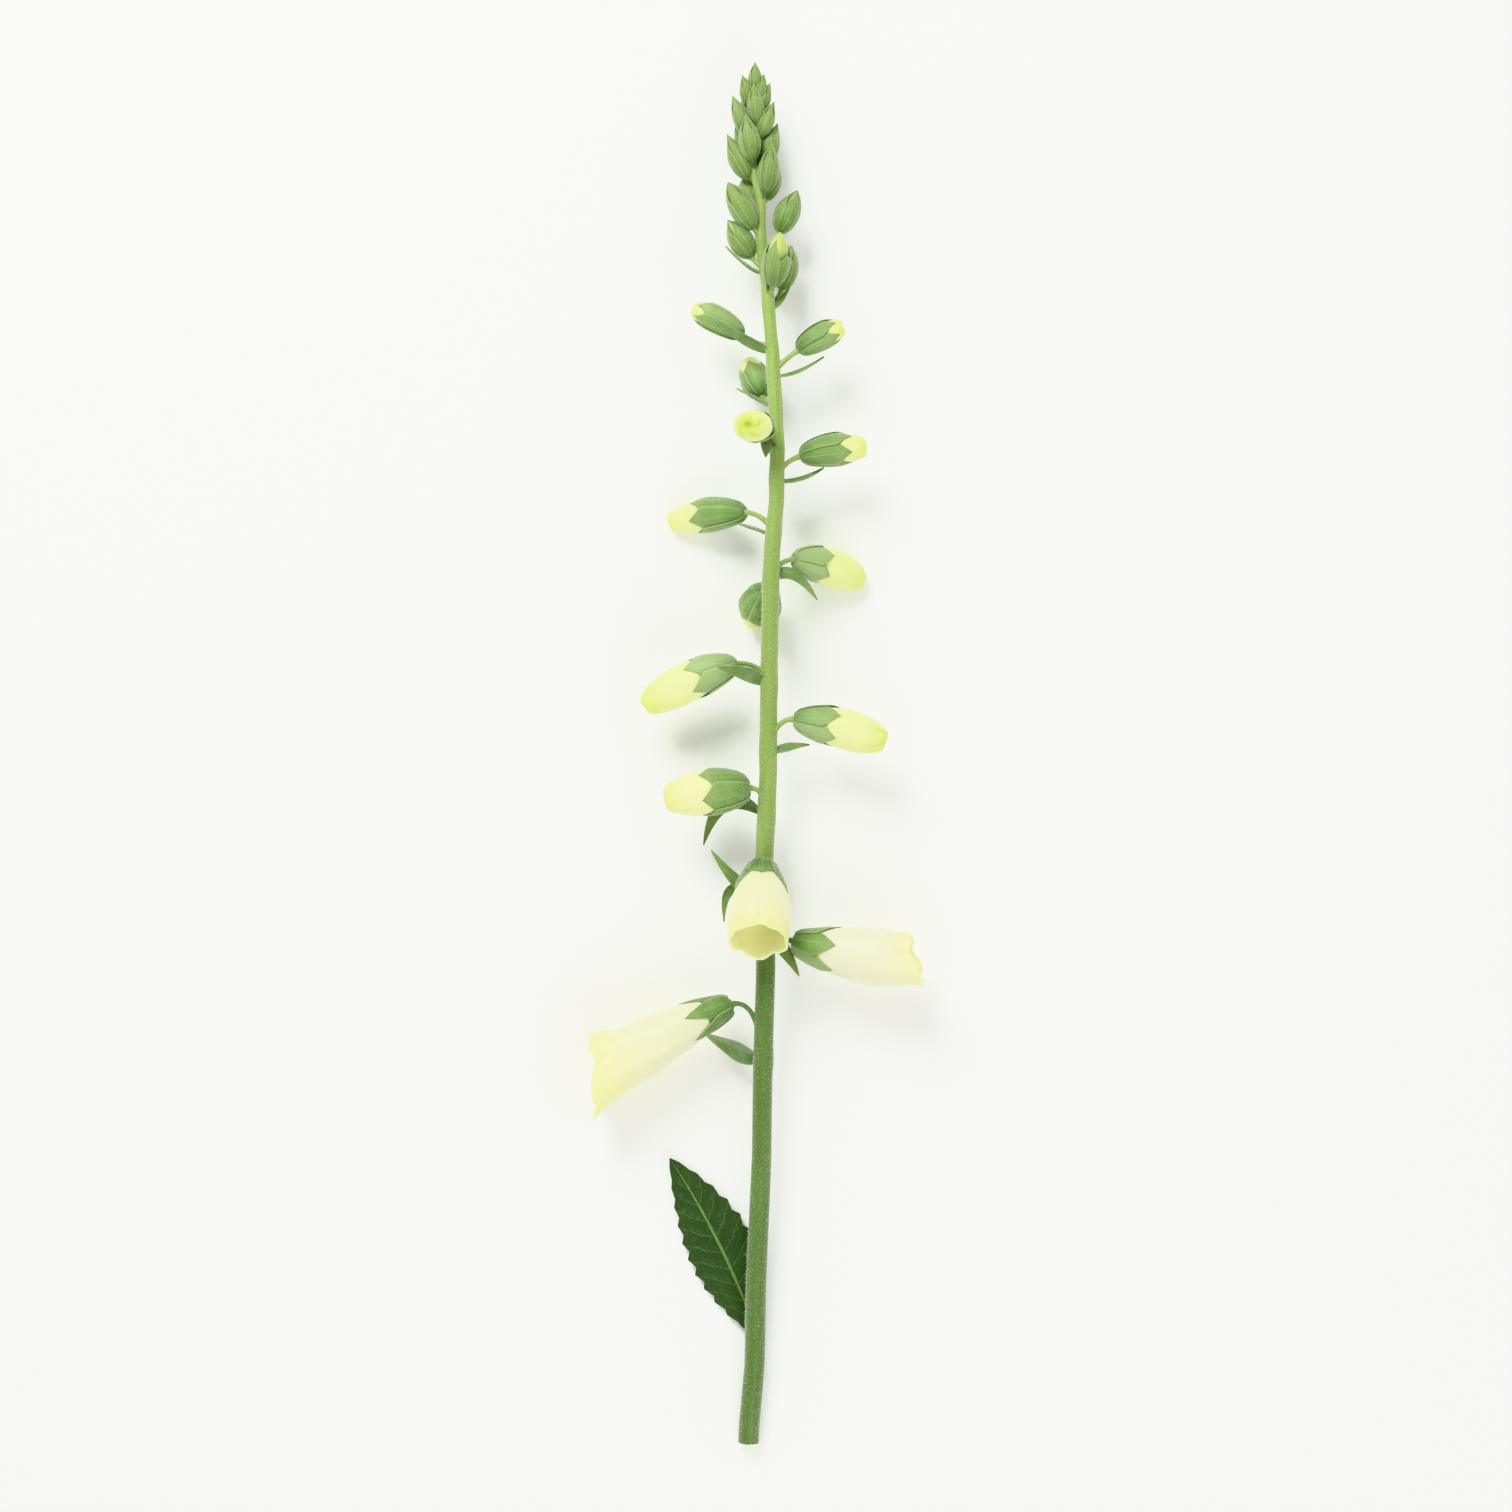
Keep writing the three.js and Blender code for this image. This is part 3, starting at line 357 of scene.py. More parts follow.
def surface(points, u, v, start=None, end=None, **values):
    """Grid of points (rows, columns, 3) with u across and v along, closed round, and closed at each
    end by a fan to one point. It is turned inside out if its volume is negative."""
    rows, columns = points.shape[:2]
    r, c = np.arange(rows - 1)[:, None], np.arange(columns)[None, :]
    after = (c + 1) % columns
    quads = np.stack([r * columns + c, r * columns + after,
                      (r + 1) * columns + after, (r + 1) * columns + c], -1).reshape(-1, 4)
    u0, u1 = np.broadcast_arrays(u[c], u[1:][c])
    low, high = (np.broadcast_to(side, (rows - 1, c.size)) for side in (v[:-1, None], v[1:, None]))
    u0, u1 = (np.broadcast_to(side, low.shape) for side in (u0, u1))
    quad_uv = np.stack([np.stack([u0, low], -1), np.stack([u1, low], -1),
                        np.stack([u1, high], -1), np.stack([u0, high], -1)], -2).reshape(-1, 4, 2)
    flat = points.reshape(-1, 3)
    triangles, triangle_uv = [], []
    first = np.arange(columns)
    second = (first + 1) % columns
    for pole, row, share in ((start, 0, v[0]), (end, rows - 1, v[-1])):
        if pole is None:
            continue
        at = np.full(columns, len(flat))
        flat = np.vstack([flat, np.reshape(pole, (1, 3))])
        order = (second, first) if row == 0 else (first, second)
        fan = np.stack([at, row * columns + order[0], row * columns + order[1]], -1)
        edges = [(u[:-1] + u[1:]) / 2, u[order[0]], u[order[1]]]
        triangles.append(fan)
        triangle_uv.append(np.stack([np.stack([e, np.full(columns, share)], -1) for e in edges], -2))
    made = dict(points=flat, quads=quads, quad_uv=quad_uv, values={})
    made["triangles"] = np.concatenate(triangles) if triangles else np.zeros((0, 3), int)
    made["triangle_uv"] = np.concatenate(triangle_uv) if triangles else np.zeros((0, 3, 2))
    for name, value in values.items():
        at_points = np.broadcast_to(value, (rows, columns)).reshape(-1)
        made["values"][name] = np.append(at_points, [at_points[-1]] * (len(flat) - len(at_points)))
    if signed_volume(made) < 0:
        for faces in ("quads", "triangles", "quad_uv", "triangle_uv"):
            made[faces] = made[faces][:, ::-1]
    return made


def signed_volume(part):
    """Sum of a . (b x c) over the triangles and the halves of the quads, with the first point as zero."""
    quads = part["quads"]
    faces = np.concatenate([quads[:, [0, 1, 2]], quads[:, [0, 2, 3]], part["triangles"]])
    a, b, c = (part["points"][faces[:, i]] - part["points"][0] for i in range(3))
    return (a * np.cross(b, c)).sum()


def make_piece(name, parts, material, slot, *nodes):
    """One Blender mesh from surfaces in millimetres, put into metres about the part's own zero. What
    would pass under the surface that the spike lies on is held at it."""
    points, faces, uvs = [], [], []
    count = 0
    for part in parts:
        points.append(part["points"])
        faces += (part["quads"] + count).tolist() + (part["triangles"] + count).tolist()
        uvs += [part["quad_uv"].reshape(-1, 2), part["triangle_uv"].reshape(-1, 2)]
        count += len(part["points"])
    placed = (np.concatenate(points) - MIDDLE) / 1000
    placed[:, 2] = np.maximum(placed[:, 2], 0)
    mesh = bpy.data.meshes.new(name)
    mesh.from_pydata(placed.tolist(), [], faces)
    uv_layer = mesh.uv_layers.new(name="UVMap")
    uv_layer.data.foreach_set("uv", np.concatenate(uvs).astype(np.float32).ravel())
    for key in parts[0]["values"]:
        numbers = np.concatenate([part["values"][key] for part in parts])
        mesh.attributes.new(key, "FLOAT", "POINT").data.foreach_set("value", numbers.astype(np.float32))
    mesh.polygons.foreach_set("use_smooth", np.ones(len(faces), bool))
    mesh.materials.append(material)
    piece = bpy.data.objects.new(name, mesh)
    bpy.context.scene.collection.objects.link(piece)
    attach(piece, "root")
    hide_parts(*nodes)
    return piece


# Materials

def linear(code):
    """A colour written as six hex digits, as linear red, green, blue and alpha 1."""
    srgb = np.array([int(code[i:i + 2], 16) for i in (0, 2, 4)]) / 255
    return (*np.where(srgb <= 0.04045, srgb / 12.92, ((srgb + 0.055) / 1.055) ** 2.4), 1)


def add(tree, kind, inputs=None, **settings):
    """A node with its settings, and its sockets linked or set."""
    made = tree.nodes.new(kind)
    for key, value in settings.items():
        setattr(made, key, value)
    for key, value in (inputs or {}).items():
        if isinstance(value, bpy.types.NodeSocket):
            tree.links.new(value, made.inputs[key])
        else:
            made.inputs[key].default_value = value
    return made


def mix(tree, factor, first, second, blend="MIX"):
    """Mixed colour of two colours or sockets."""
    return add(tree, "ShaderNodeMix", {0: factor, 6: first, 7: second},
               data_type="RGBA", blend_type=blend).outputs[2]


def tint(tree, colour, toward, share, strength=None):
    """A colour drawn toward another by a share, or by that share times a strength."""
    if strength is not None:
        share = math_node(tree, "MULTIPLY", share, strength)
    return mix(tree, share, colour, linear(toward))


def math_node(tree, operation, *values):
    """A number worked out from numbers or sockets."""
    return add(tree, "ShaderNodeMath", dict(enumerate(values)), operation=operation).outputs[0]


def waves(tree, value, turns, sharpness=None):
    """|sin(pi turns value)|, to a power where a sharpness is given."""
    angle = math_node(tree, "MULTIPLY", value, math.pi * turns)
    wave = math_node(tree, "ABSOLUTE", math_node(tree, "SINE", angle))
    return wave if sharpness is None else math_node(tree, "POWER", wave, sharpness)


def off_middle(tree, u):
    """|2u - 1|: 0 along the middle of a blade and 1 at its edges."""
    return math_node(tree, "ABSOLUTE", math_node(tree, "MULTIPLY_ADD", u, 2.0, -1.0))


def step_between(tree, value, low, high):
    """Smooth 0 to 1 as the value goes from low to high."""
    return add(tree, "ShaderNodeMapRange", {"Value": value, "From Min": low, "From Max": high},
               interpolation_type="SMOOTHSTEP").outputs["Result"]


def noise(tree, place, scale, detail):
    """Noise from 0 to 1 at a place, with its scale in turns for each metre."""
    return add(tree, "ShaderNodeTexNoise", {"Vector": place, "Scale": scale, "Detail": detail}).outputs["Fac"]


def attribute(tree, name):
    """A value kept at the piece's points."""
    return add(tree, "ShaderNodeAttribute", attribute_name=name).outputs["Fac"]


def uv_axes(tree):
    """The piece's own u, across, and v, along."""
    parted = add(tree, "ShaderNodeSeparateXYZ", {0: add(tree, "ShaderNodeUVMap", uv_map="UVMap").outputs[0]})
    return parted.outputs[0], parted.outputs[1]


def object_place(tree, stretch=(1, 1, 1)):
    """Place on the object, with a pattern drawn out along an axis where its stretch is under 1."""
    place = add(tree, "ShaderNodeTexCoord").outputs["Object"]
    return add(tree, "ShaderNodeMapping", {"Vector": place, "Scale": stretch}).outputs[0]


def finish(name, tree, shader, colour, height, depth):
    """Joins a colour and a relief of that depth, in metres, to a shader."""
    tree.links.new(colour, shader.inputs["Base Color"])
    bump = add(tree, "ShaderNodeBump", {"Height": height, "Distance": depth, "Strength": 1.0})
    tree.links.new(bump.outputs[0], shader.inputs["Normal"])
    return bpy.data.materials[name]


def blank(name, roughness, sheen, soft, soft_radius):
    """A new material whose fixed numbers are set on the shader's own sockets."""
    material = bpy.data.materials.new(name)
    material.use_nodes = True
    shader = material.node_tree.nodes["Principled BSDF"]
    shader.inputs["Roughness"].default_value = roughness
    shader.inputs["Sheen Weight"].default_value = sheen
    shader.inputs["Sheen Roughness"].default_value = 0.5
    shader.inputs["Subsurface Weight"].default_value = soft
    shader.inputs["Subsurface Radius"].default_value = soft_radius
    shader.inputs["Subsurface Scale"].default_value = 0.0012
    return material.node_tree, shader


def stem_skin():
    """Yellow-green skin with fine streaks along the stem, with painted shade toward the cut end and
    painted light over its upper part.
    """
    tree, shader = blank("stem_skin", 0.5, 0.5, 0.15, (0.7, 1.0, 0.3))
    place = object_place(tree)
    along = add(tree, "ShaderNodeSeparateXYZ", {0: place}).outputs[1]
    streaks = noise(tree, object_place(tree, (1, 0.03, 1)), 1500, 3)
    bands = noise(tree, object_place(tree, (1, 0.12, 1)), 260, 2)
    # Painted light: the upper colour lightens the stem's upper part.
    colour = tint(tree, linear(STEM_COLOURS["lower"]), STEM_COLOURS["upper"],
                  step_between(tree, along, 0.035, 0.1))
    colour = tint(tree, colour, STEM_COLOURS["streak"], step_between(tree, streaks, 0.35, 0.8), 0.7)
    colour = tint(tree, colour, STEM_COLOURS["band"], step_between(tree, bands, 0.45, 0.8), 0.5)
    # Painted shade: the stem is darkened toward the cut end.
    colour = mix(tree, step_between(tree, along, -0.02, -0.068), colour, linear(STEM_COLOURS["painted_shade_near_cut"]),
                 "MULTIPLY")
    return finish("stem_skin", tree, shader, colour, streaks, 0.00012)


def sepal_skin(name, colours, veins, margin_strength):
    """Soft green skin of a sepal, bract or bud: greyer with bloom, with a pale margin and fine veins
    that run along it, deeper by a tone that is in part painted shade, and with painted shade along the
    edge that lies under the next sepal. u is 0 and 1 at its two edges."""
    tree, shader = blank(name, 0.55, 0.35, 0.12, (0.6, 1.0, 0.35))
    foot, margin = colours["foot"], colours["margin"]
    u, v = uv_axes(tree)
    place = object_place(tree)
    off = off_middle(tree, u)
    mottle = noise(tree, place, 350, 3)
    ribs = waves(tree, math_node(tree, "MULTIPLY_ADD", mottle, 0.05, u), veins, 5.0)
    rib = step_between(tree, off, 0.16, 0.0)
    tone = attribute(tree, "tone")
    colour = tint(tree, linear(colours["middle"]), foot, step_between(tree, v, 0.45, 0.0))
    # Deep green by the random tone and, in part as painted shade, by the flower's shade value.
    colour = tint(tree, colour, SEPAL_SHADES["deep"], tone, 0.38)
    colour = tint(tree, colour, SEPAL_SHADES["downy"], tone, -0.5)
    colour = tint(tree, colour, margin, ribs, 0.08)
    colour = tint(tree, colour, margin, rib, 0.12)
    # Painted shade: the edge that lies under the next sepal is drawn toward the foot colour.
    colour = tint(tree, colour, foot, step_between(tree, u, 0.3, 0.0), 0.3)
    colour = tint(tree, colour, margin, step_between(tree, off, 0.84, 1.0), margin_strength)
    colour = tint(tree, colour, SEPAL_SHADES["bloom"], step_between(tree, mottle, 0.4, 0.8), 0.35)
    colour = tint(tree, colour, SEPAL_SHADES["tip"], step_between(tree, v, 0.5, 1.0), 0.35)
    colour = tint(tree, colour, SEPAL_SHADES["petal"], attribute(tree, "petal"))
    relief = math_node(tree, "MULTIPLY_ADD", ribs, -0.6, noise(tree, place, 2500, 2))
    return finish(name, tree, shader, colour, relief, 0.00008)


def petal_skin():
    """Silky petal: young yellow to grown cream by its age, deeper at the tip, with fine veins along it.
    Inside it is its own yellower cream, lightened as painted light against the shade in the bell, and
    the creases at a closed flower's end are darkened as painted shade."""
    tree, shader = blank("petal_skin", 0.42, 0.15, 0.7, (0.9, 0.85, 0.5))
    shader.inputs["Subsurface Scale"].default_value = 0.004
    u, v = uv_axes(tree)
    place = object_place(tree)
    mottle = noise(tree, place, 260, 2)
    veins = waves(tree, math_node(tree, "MULTIPLY_ADD", noise(tree, place, 500, 2), 0.018, u), 45, 4.0)
    age = attribute(tree, "age")
    youth = math_node(tree, "MULTIPLY_ADD", age, -0.75, 1.0)
    tip = math_node(tree, "MULTIPLY", math_node(tree, "MULTIPLY", step_between(tree, v, 0.7, 1.0), 0.85),
                    youth)
    colour = tint(tree, linear(PETAL_COLOURS["young"]), PETAL_COLOURS["grown"], age)
    colour = tint(tree, colour, PETAL_COLOURS["foot"], step_between(tree, v, 0.3, 0.08))
    colour = tint(tree, colour, PETAL_COLOURS["pale"], step_between(tree, mottle, 0.35, 0.8), 0.25)
    colour = tint(tree, colour, PETAL_COLOURS["deep"], tip)
    colour = tint(tree, colour, PETAL_COLOURS["deep"], veins, 0.1)
    # Painted shade in the creases and the dimpled middle of a closed flower's end.
    colour = tint(tree, colour, PETAL_COLOURS["crease"], attribute(tree, "crease"), 0.65)
    # Partly painted light: the inside colour is the petals' own yellower cream, made paler to lighten the
    # shade in the bell.
    colour = tint(tree, colour, PETAL_COLOURS["inside"], attribute(tree, "inner"), 0.95)
    relief = math_node(tree, "MULTIPLY_ADD", veins, -0.5, noise(tree, place, 1800, 2))
    return finish("petal_skin", tree, shader, colour, relief, 0.00005)


def leaf_skin():
    """Deep green blade, darkened further as painted shade, with a pale midrib, side veins that run to the
    teeth and a fine net between them. The underside is paler."""
    tree, shader = blank("leaf_skin", 0.5, 0.2, 0.08, (0.5, 1.0, 0.3))
    u, v = uv_axes(tree)
    place = object_place(tree)
    off = off_middle(tree, u)
    midrib = step_between(tree, off, 0.07, 0.02)
    lean = math_node(tree, "MULTIPLY_ADD", off, -VEIN_LEAN, v)
    side = step_between(tree, waves(tree, lean, LEAF["teeth"]), 0.16, 0.0)
    net = add(tree, "ShaderNodeTexVoronoi", {"Vector": place, "Scale": 550.0},
              feature="DISTANCE_TO_EDGE").outputs["Distance"]
    net = step_between(tree, net, 0.09, 0.0)
    veins = math_node(tree, "MAXIMUM", midrib, math_node(tree, "MULTIPLY", side, 0.55))
    colour = tint(tree, linear(LEAF_COLOURS["dark"]), LEAF_COLOURS["light"], noise(tree, place, 90, 3))
    colour = tint(tree, colour, LEAF_COLOURS["net"], net, 0.25)
    colour = tint(tree, colour, LEAF_COLOURS["vein"], veins, 0.65)
    colour = tint(tree, colour, LEAF_COLOURS["under"], attribute(tree, "under"), 0.55)
    relief = math_node(tree, "MULTIPLY_ADD", net, -0.6, math_node(tree, "MULTIPLY", veins, -0.6))
    return finish("leaf_skin", tree, shader, colour, relief, 0.00025)


def plain_skin(name, light, dark, roughness, soft, scale):
    """Mottled mix of two colours with a fine grain."""
    tree, shader = blank(name, roughness, 0.1, soft, (1.0, 0.9, 0.5))
    place = object_place(tree)
    mottle = noise(tree, place, scale, 3)
    colour = mix(tree, step_between(tree, mottle, 0.3, 0.7), linear(light), linear(dark))
    return finish(name, tree, shader, colour, mottle, 0.00005)


# Green parts

def two_skins(upper, lower, w):
    """Rings that run across the upper skin and back on the lower one, and their u, from w, which is
    -1 and 1 at a blade's edges."""
    return (np.concatenate([upper, lower[:, ::-1]], 1),
            np.concatenate([(w + 1) / 2, (1 - w) / 2, [0]]))


def blade(curve_points, directions, reference, w, half, lift, wall, v, **values):
    """Closed thin blade: at each station the upper skin lies half * w along the first direction
    across the curve and lift along the second, and the lower skin lies a wall below it."""
    side, normal = across(directions, reference)
    upper = (curve_points[:, None] + (half[:, None] * w)[..., None] * side[:, None]
             + lift[..., None] * normal[:, None])
    lower = upper - np.broadcast_to(wall, upper.shape[:2])[..., None] * normal[:, None]
    ring, u = two_skins(upper, lower, w)
    under = np.repeat([0.0, 1.0], len(w))
    return surface(ring, u, v, start=ring[0].mean(0), end=ring[-1].mean(0), under=under, down=1.0, **values)


def stem_surface():
    """Round bar along the stem line, its radius waved round it as 1 + depth * cos(ribs * angle). At
    each root it swells on the flower's side as exp(-x^2), x being the height off it over a reach."""
    y = np.linspace(0, STEM_END, 560)
    centre = stem_point(y)
    first, second = across(unit(np.gradient(centre, axis=0)), Z_AXIS)
    angle = ring_angles(STEM_SIDES)
    radius = smooth_table(STEM_LINE[:, 1], STEM_LINE[:, 2], y, 4.0)[:, None]
    radius = radius * (1 + STEM_RIB_DEPTH * np.cos(STEM_RIBS * angle))
    for flower in OPEN_BELLS + CLOSED_FLOWERS + GREEN_BUDS:
        if flower["width"] <= STALKED_BUD_WIDTH:
            continue
        away = flower_base(flower) - stem_point(flower["root"])
        toward = math.atan2(-away[0], away[2])
        near = np.exp(-(((y - flower["root"] + 1.5) / ROOT_SWELLING_REACH) ** 2))[:, None]
        radius = radius + ROOT_SWELLING * near * np.clip(np.cos(angle - toward), 0, 1)
    ring = centre[:, None] + radius[..., None] * spokes(first, second, angle)
    return surface(ring, ring_shares(STEM_SIDES), y / SPIKE_LENGTH, start=centre[0], end=centre[-1], down=1.0)


def cut_face():
    """Pale pith at the cut: a low dome turned from a profile of depths and radii, 0.15 mm proud of
    the end at its highest."""
    sides = 40
    centre, direction = stem_point(0.0), unit(stem_point(1.0) - stem_point(0.0))
    first, second = across(direction, Z_AXIS)
    profile = np.array([[0.3, 2.6], [-0.06, 2.66], [-0.12, 2.5], [-0.15, 2.0], [-0.13, 1.2], [-0.08, 0.5]])
    depth, radius = profile[:, 0, None, None], profile[:, 1, None, None]
    ring = centre + depth * direction + radius * spokes(first, second, ring_angles(sides))
    return surface(ring, ring_shares(sides), np.linspace(0, 1, len(profile)),
                   start=centre + 0.3 * direction, end=centre - 0.05 * direction)


def stalk(flower):
    """Stalk from the middle of the stem into a flower's base. Its radius is 1.35 of its own at the
    root, 0.85 halfway and 1.2 at the flower."""
    sides = 14
    full = min(PEDICEL_RADIUS, 0.16 * flower["width"])
    controls, _ = flower_curve(flower)
    root = stem_point(flower["root"])
    base, direction = bezier(controls, np.array(0.04))
    reach = np.linalg.norm(base - root)
    path = np.stack([root, base - 0.5 * reach * direction, base])
    s = np.linspace(0, 1, 26)
    radius = full * (1.35 - 0.5 * np.minimum(1, 2 * s) + 0.35 * smoothstep(s, 0.75, 1))
    ring = around(path, Z_AXIS, *grid(s, ring_angles(sides)), radius[:, None])
    return surface(ring, ring_shares(sides), s, start=root, end=base, down=1.0)


def receptacle(flower):
    """Button at the foot of a flower that carries its sepals, round the flower's axis."""
    sides, top = 30, 0.2
    controls, upper = flower_curve(flower)
    t = np.linspace(0.004, top, 12)
    grow = smoothstep(t, 0, 0.05)
    radius = (0.55 + 0.45 * grow) * (flower_radius(flower, t) + 0.12 * grow)
    ring = around(controls, upper, *grid(t, ring_angles(sides)), radius[:, None])
    # The flower's shade value deepens the button's green too, in part painted shade.
    return surface(ring, ring_shares(sides), t, start=controls[0], end=bezier(controls, np.array(top))[0],
                   tone=0.2 + flower.get("shade", 0), down=1.0)


def sepal_blades(flower, radius_at, length, notch, turn, free_tip, lap):
    """Five sepals wrapped on a flower or bud. At share s a sepal spans an angle of 36 degrees each
    way plus an overlap, and past the notch (1 - x^1.2)^0.95 of that. Its skin stands a little off the
    petals, one edge a lap over and one a lap under its middle, with a ridge along the middle. The
    first sepal may be shorter than the rest. A free tip is how far its point leans out."""
    controls, upper = flower_curve(flower)
    stand = BELL_SEPAL_STAND if "flare" in flower else CLOSED_SEPAL_STAND
    w = np.linspace(-1, 1, 13)
    s = 0.988 * (1 - (1 - np.linspace(0, 1, 24)) ** 1.15)
    made = []
    for k in range(LOBES):
        full = length if k else notch + (length - notch) * flower.get("top_sepal", 1)
        t = SEPAL_ROOT + (full - SEPAL_ROOT) * s
        x = np.clip((t - notch) / (full - notch), 0, 1)
        half = np.pi / LOBES * (1 - x**1.2) ** 0.95 + SEPAL_OVERLAP * (1 - smoothstep(x, 0, 0.6))
        # A flower's shade value adds to the random tone. Above 0 it is in part painted shade.
        tone = random.uniform(0, 1) + 1.2 * flower.get("shade", 0)
        lean = random.normal(0, 0.03)
        middle = turn + 2 * np.pi * k / LOBES + lean * s
        angle = middle[:, None] + half[:, None] * w
        share = np.broadcast_to(t[:, None], angle.shape)
        ridge = SEPAL_RIDGE * np.exp(-((w / SEPAL_RIDGE_WIDTH) ** 2)) * (1 - 0.5 * s[:, None])
        proud = stand + lap * w * (1 - x[:, None]) + ridge + free_tip * smoothstep(s, 0.72, 1)[:, None]
        radius = radius_at(flower, t)[:, None] + proud * smoothstep(s, -0.1, 0.12)[:, None]
        radius = radius * flatness(flower, angle)
        thin = (1 - 0.65 * np.abs(w) ** 3) * (0.5 + 0.5 * smoothstep(1 - s, 0, 0.2)[:, None])
        wall = SEPAL_THICKNESS * thin
        ring, u = two_skins(around(controls, upper, share, angle, radius),
                            around(controls, upper, share, angle, radius - wall), w)
        point = around(controls, upper, np.array(full + 0.012), middle[-1],
                       radius[-1].mean() - wall[-1].mean() / 2)
        made.append(surface(ring, u, s, start=ring[0].mean(0), end=point, tone=tone,
                            down=np.repeat([1.0, 0.0], len(w))))
    return made


def bud_core(bud, showing):
    """Closed spindle inside a bud's sepals, with its foot run down into the stem. Where it shows, its
    end has the colour of petals."""
    sides = 12
    controls, upper = flower_curve(bud)
    t = np.linspace(0.03, 0.95, 14)
    radius = green_bud_radius(bud, t) * (0.9 + 0.3 * showing * smoothstep(t, 0.6, 0.9))
    ring = around(controls, upper, *grid(t, ring_angles(sides)), radius[:, None])
    base = controls[0]
    foot = base if bud["width"] > STALKED_BUD_WIDTH else base + 0.7 * (stem_point(bud["root"]) - base)
    return surface(ring, ring_shares(sides), t, start=foot, end=controls[2], tone=0.6, down=0.0,
                   petal=showing * smoothstep(t, 0.55, 0.72)[:, None])


def far_buds():
    """Buds on the far side of the tip, smaller toward its end, turned from straight below by a row
    of angles."""
    share = np.linspace(0, 1, len(FAR_BUD_TURNS))
    root = FAR_BUDS_FROM + (FAR_BUDS_TO - FAR_BUDS_FROM) * share
    length = np.interp(share, [0, 1], FAR_BUD_LENGTH)
    width = np.interp(share, [0, 1], FAR_BUD_WIDTH)
    out = 0.42 * width
    x = stem_point(root)[:, 0]
    return [
        dict(root=root[i], width=width[i], lift=-out[i], rise=-0.3 * length[i] * math.cos(turn),
             base=(x[i] + out[i] * math.sin(turn), root[i] + 1.5),
             tip=(x[i] + (out[i] + 0.45 * length[i]) * math.sin(turn), root[i] + length[i]))
        for i, turn in enumerate(FAR_BUD_TURNS)
    ]


def bract_blade(flower):
    """Narrow pointed leaf under a flower. Half width sin(pi t^0.75)^0.8, its sides raised in a
    rounded V, with a slight wave along its edges."""
    spec = flower["bract"]
    root = stem_point(flower["root"] - 1.6)
    end = np.array([*spec["tip"], root[2] + spec["rise"]])
    control = root + 0.45 * (end - root) + np.array([spec.get("out", 0), 2 * spec["bow"], 0])
    controls = np.stack([root, control, end])
    heading = unit(end - root)
    flat = unit(np.cross(heading, Y_AXIS))
    turn = math.radians(spec["turn"])
    width_way = flat * math.cos(turn) + np.cross(heading, flat) * math.sin(turn)
    t = np.linspace(0, 1, 30)
    centre, direction = bezier(controls, t)
    shape = np.sin(np.pi * t.clip(0.001, 0.999) ** 0.75) ** 0.8
    half = spec["width"] / 2 * np.maximum(0.12 * (1 - t) + 0.02, shape) + 0.1
    w = np.linspace(-1, 1, 13)
    wave = 0.05 * np.sin(9 * t + 2 * flower["root"])[:, None] * w
    lift = half[:, None] * (0.25 * (np.sqrt(w**2 + 0.02) - 0.14) + wave) + BLADE_THICKNESS / 2
    wall = BLADE_THICKNESS * (1 - 0.7 * np.abs(w) ** 3)
    return blade(centre, direction, width_way, w, half, lift, wall, t, tone=random.uniform(0, 1))


def foot_leaf_blade():
    """The toothed leaf. Half width sin(pi t^0.9)^0.85 with forward teeth, edges raised by the fold,
    and the skin quilted: low on the side veins and high between them."""
    foot = np.array([*LEAF["foot"], LEAF["foot_height"]])
    tip = np.array([*LEAF["tip"], LEAF["tip_height"]])
    middle = (foot + tip) / 2
    middle[0] += 2 * LEAF["bow"]
    middle[2] = 2 * LEAF["middle_height"] - (foot[2] + tip[2]) / 2
    t = np.linspace(0, 1, 221)
    centre, direction = bezier(np.stack([foot, middle, tip]), t)
    phase = (t * LEAF["teeth"]) % 1
    tooth = np.where(phase < 0.62, phase / 0.62, (1 - phase) / 0.38)
    outline = np.maximum(LEAF["foot_width"] * (1 - t), np.sin(np.pi * t.clip(0.001, 0.999) ** 0.9) ** 0.85)
    edge = 0.15
    half = LEAF["width"] / 2 * outline * (1 - LEAF["tooth_depth"] * (1 - tooth)) + edge
    toothless = LEAF["width"] / 2 * outline + edge
    w = np.linspace(-1, 1, 41)
    lean = t[:, None] - VEIN_LEAN * np.abs(w)
    quilt = 0.3 * np.abs(np.sin(np.pi * LEAF["teeth"] * lean)) ** 0.7 * np.sin(np.pi * np.abs(w)) ** 0.6
    wave = 0.35 * np.sin(13 * t[:, None] + 1.5 * np.sign(w)) * w**2
    lift = LEAF["fold"] * toothless[:, None] * np.sqrt(w**2 + 0.004) + quilt + wave * outline[:, None]
    midrib = 0.55 * np.exp(-((w / 0.06) ** 2)) * (1 - 0.7 * t[:, None])
    wall = 0.4 * (1 - 0.6 * np.abs(w) ** 4) + midrib
    return blade(centre, direction, unit(np.cross(Z_AXIS, unit(tip - foot))), w, half, lift, wall, t)


# Petals

def lobe_at(angle):
    """|sin(5/2 angle)|: 1 in the middle of a petal's lobe and 0 between two. One lobe is lowermost."""
    return np.abs(np.sin(LOBES * angle / 2))


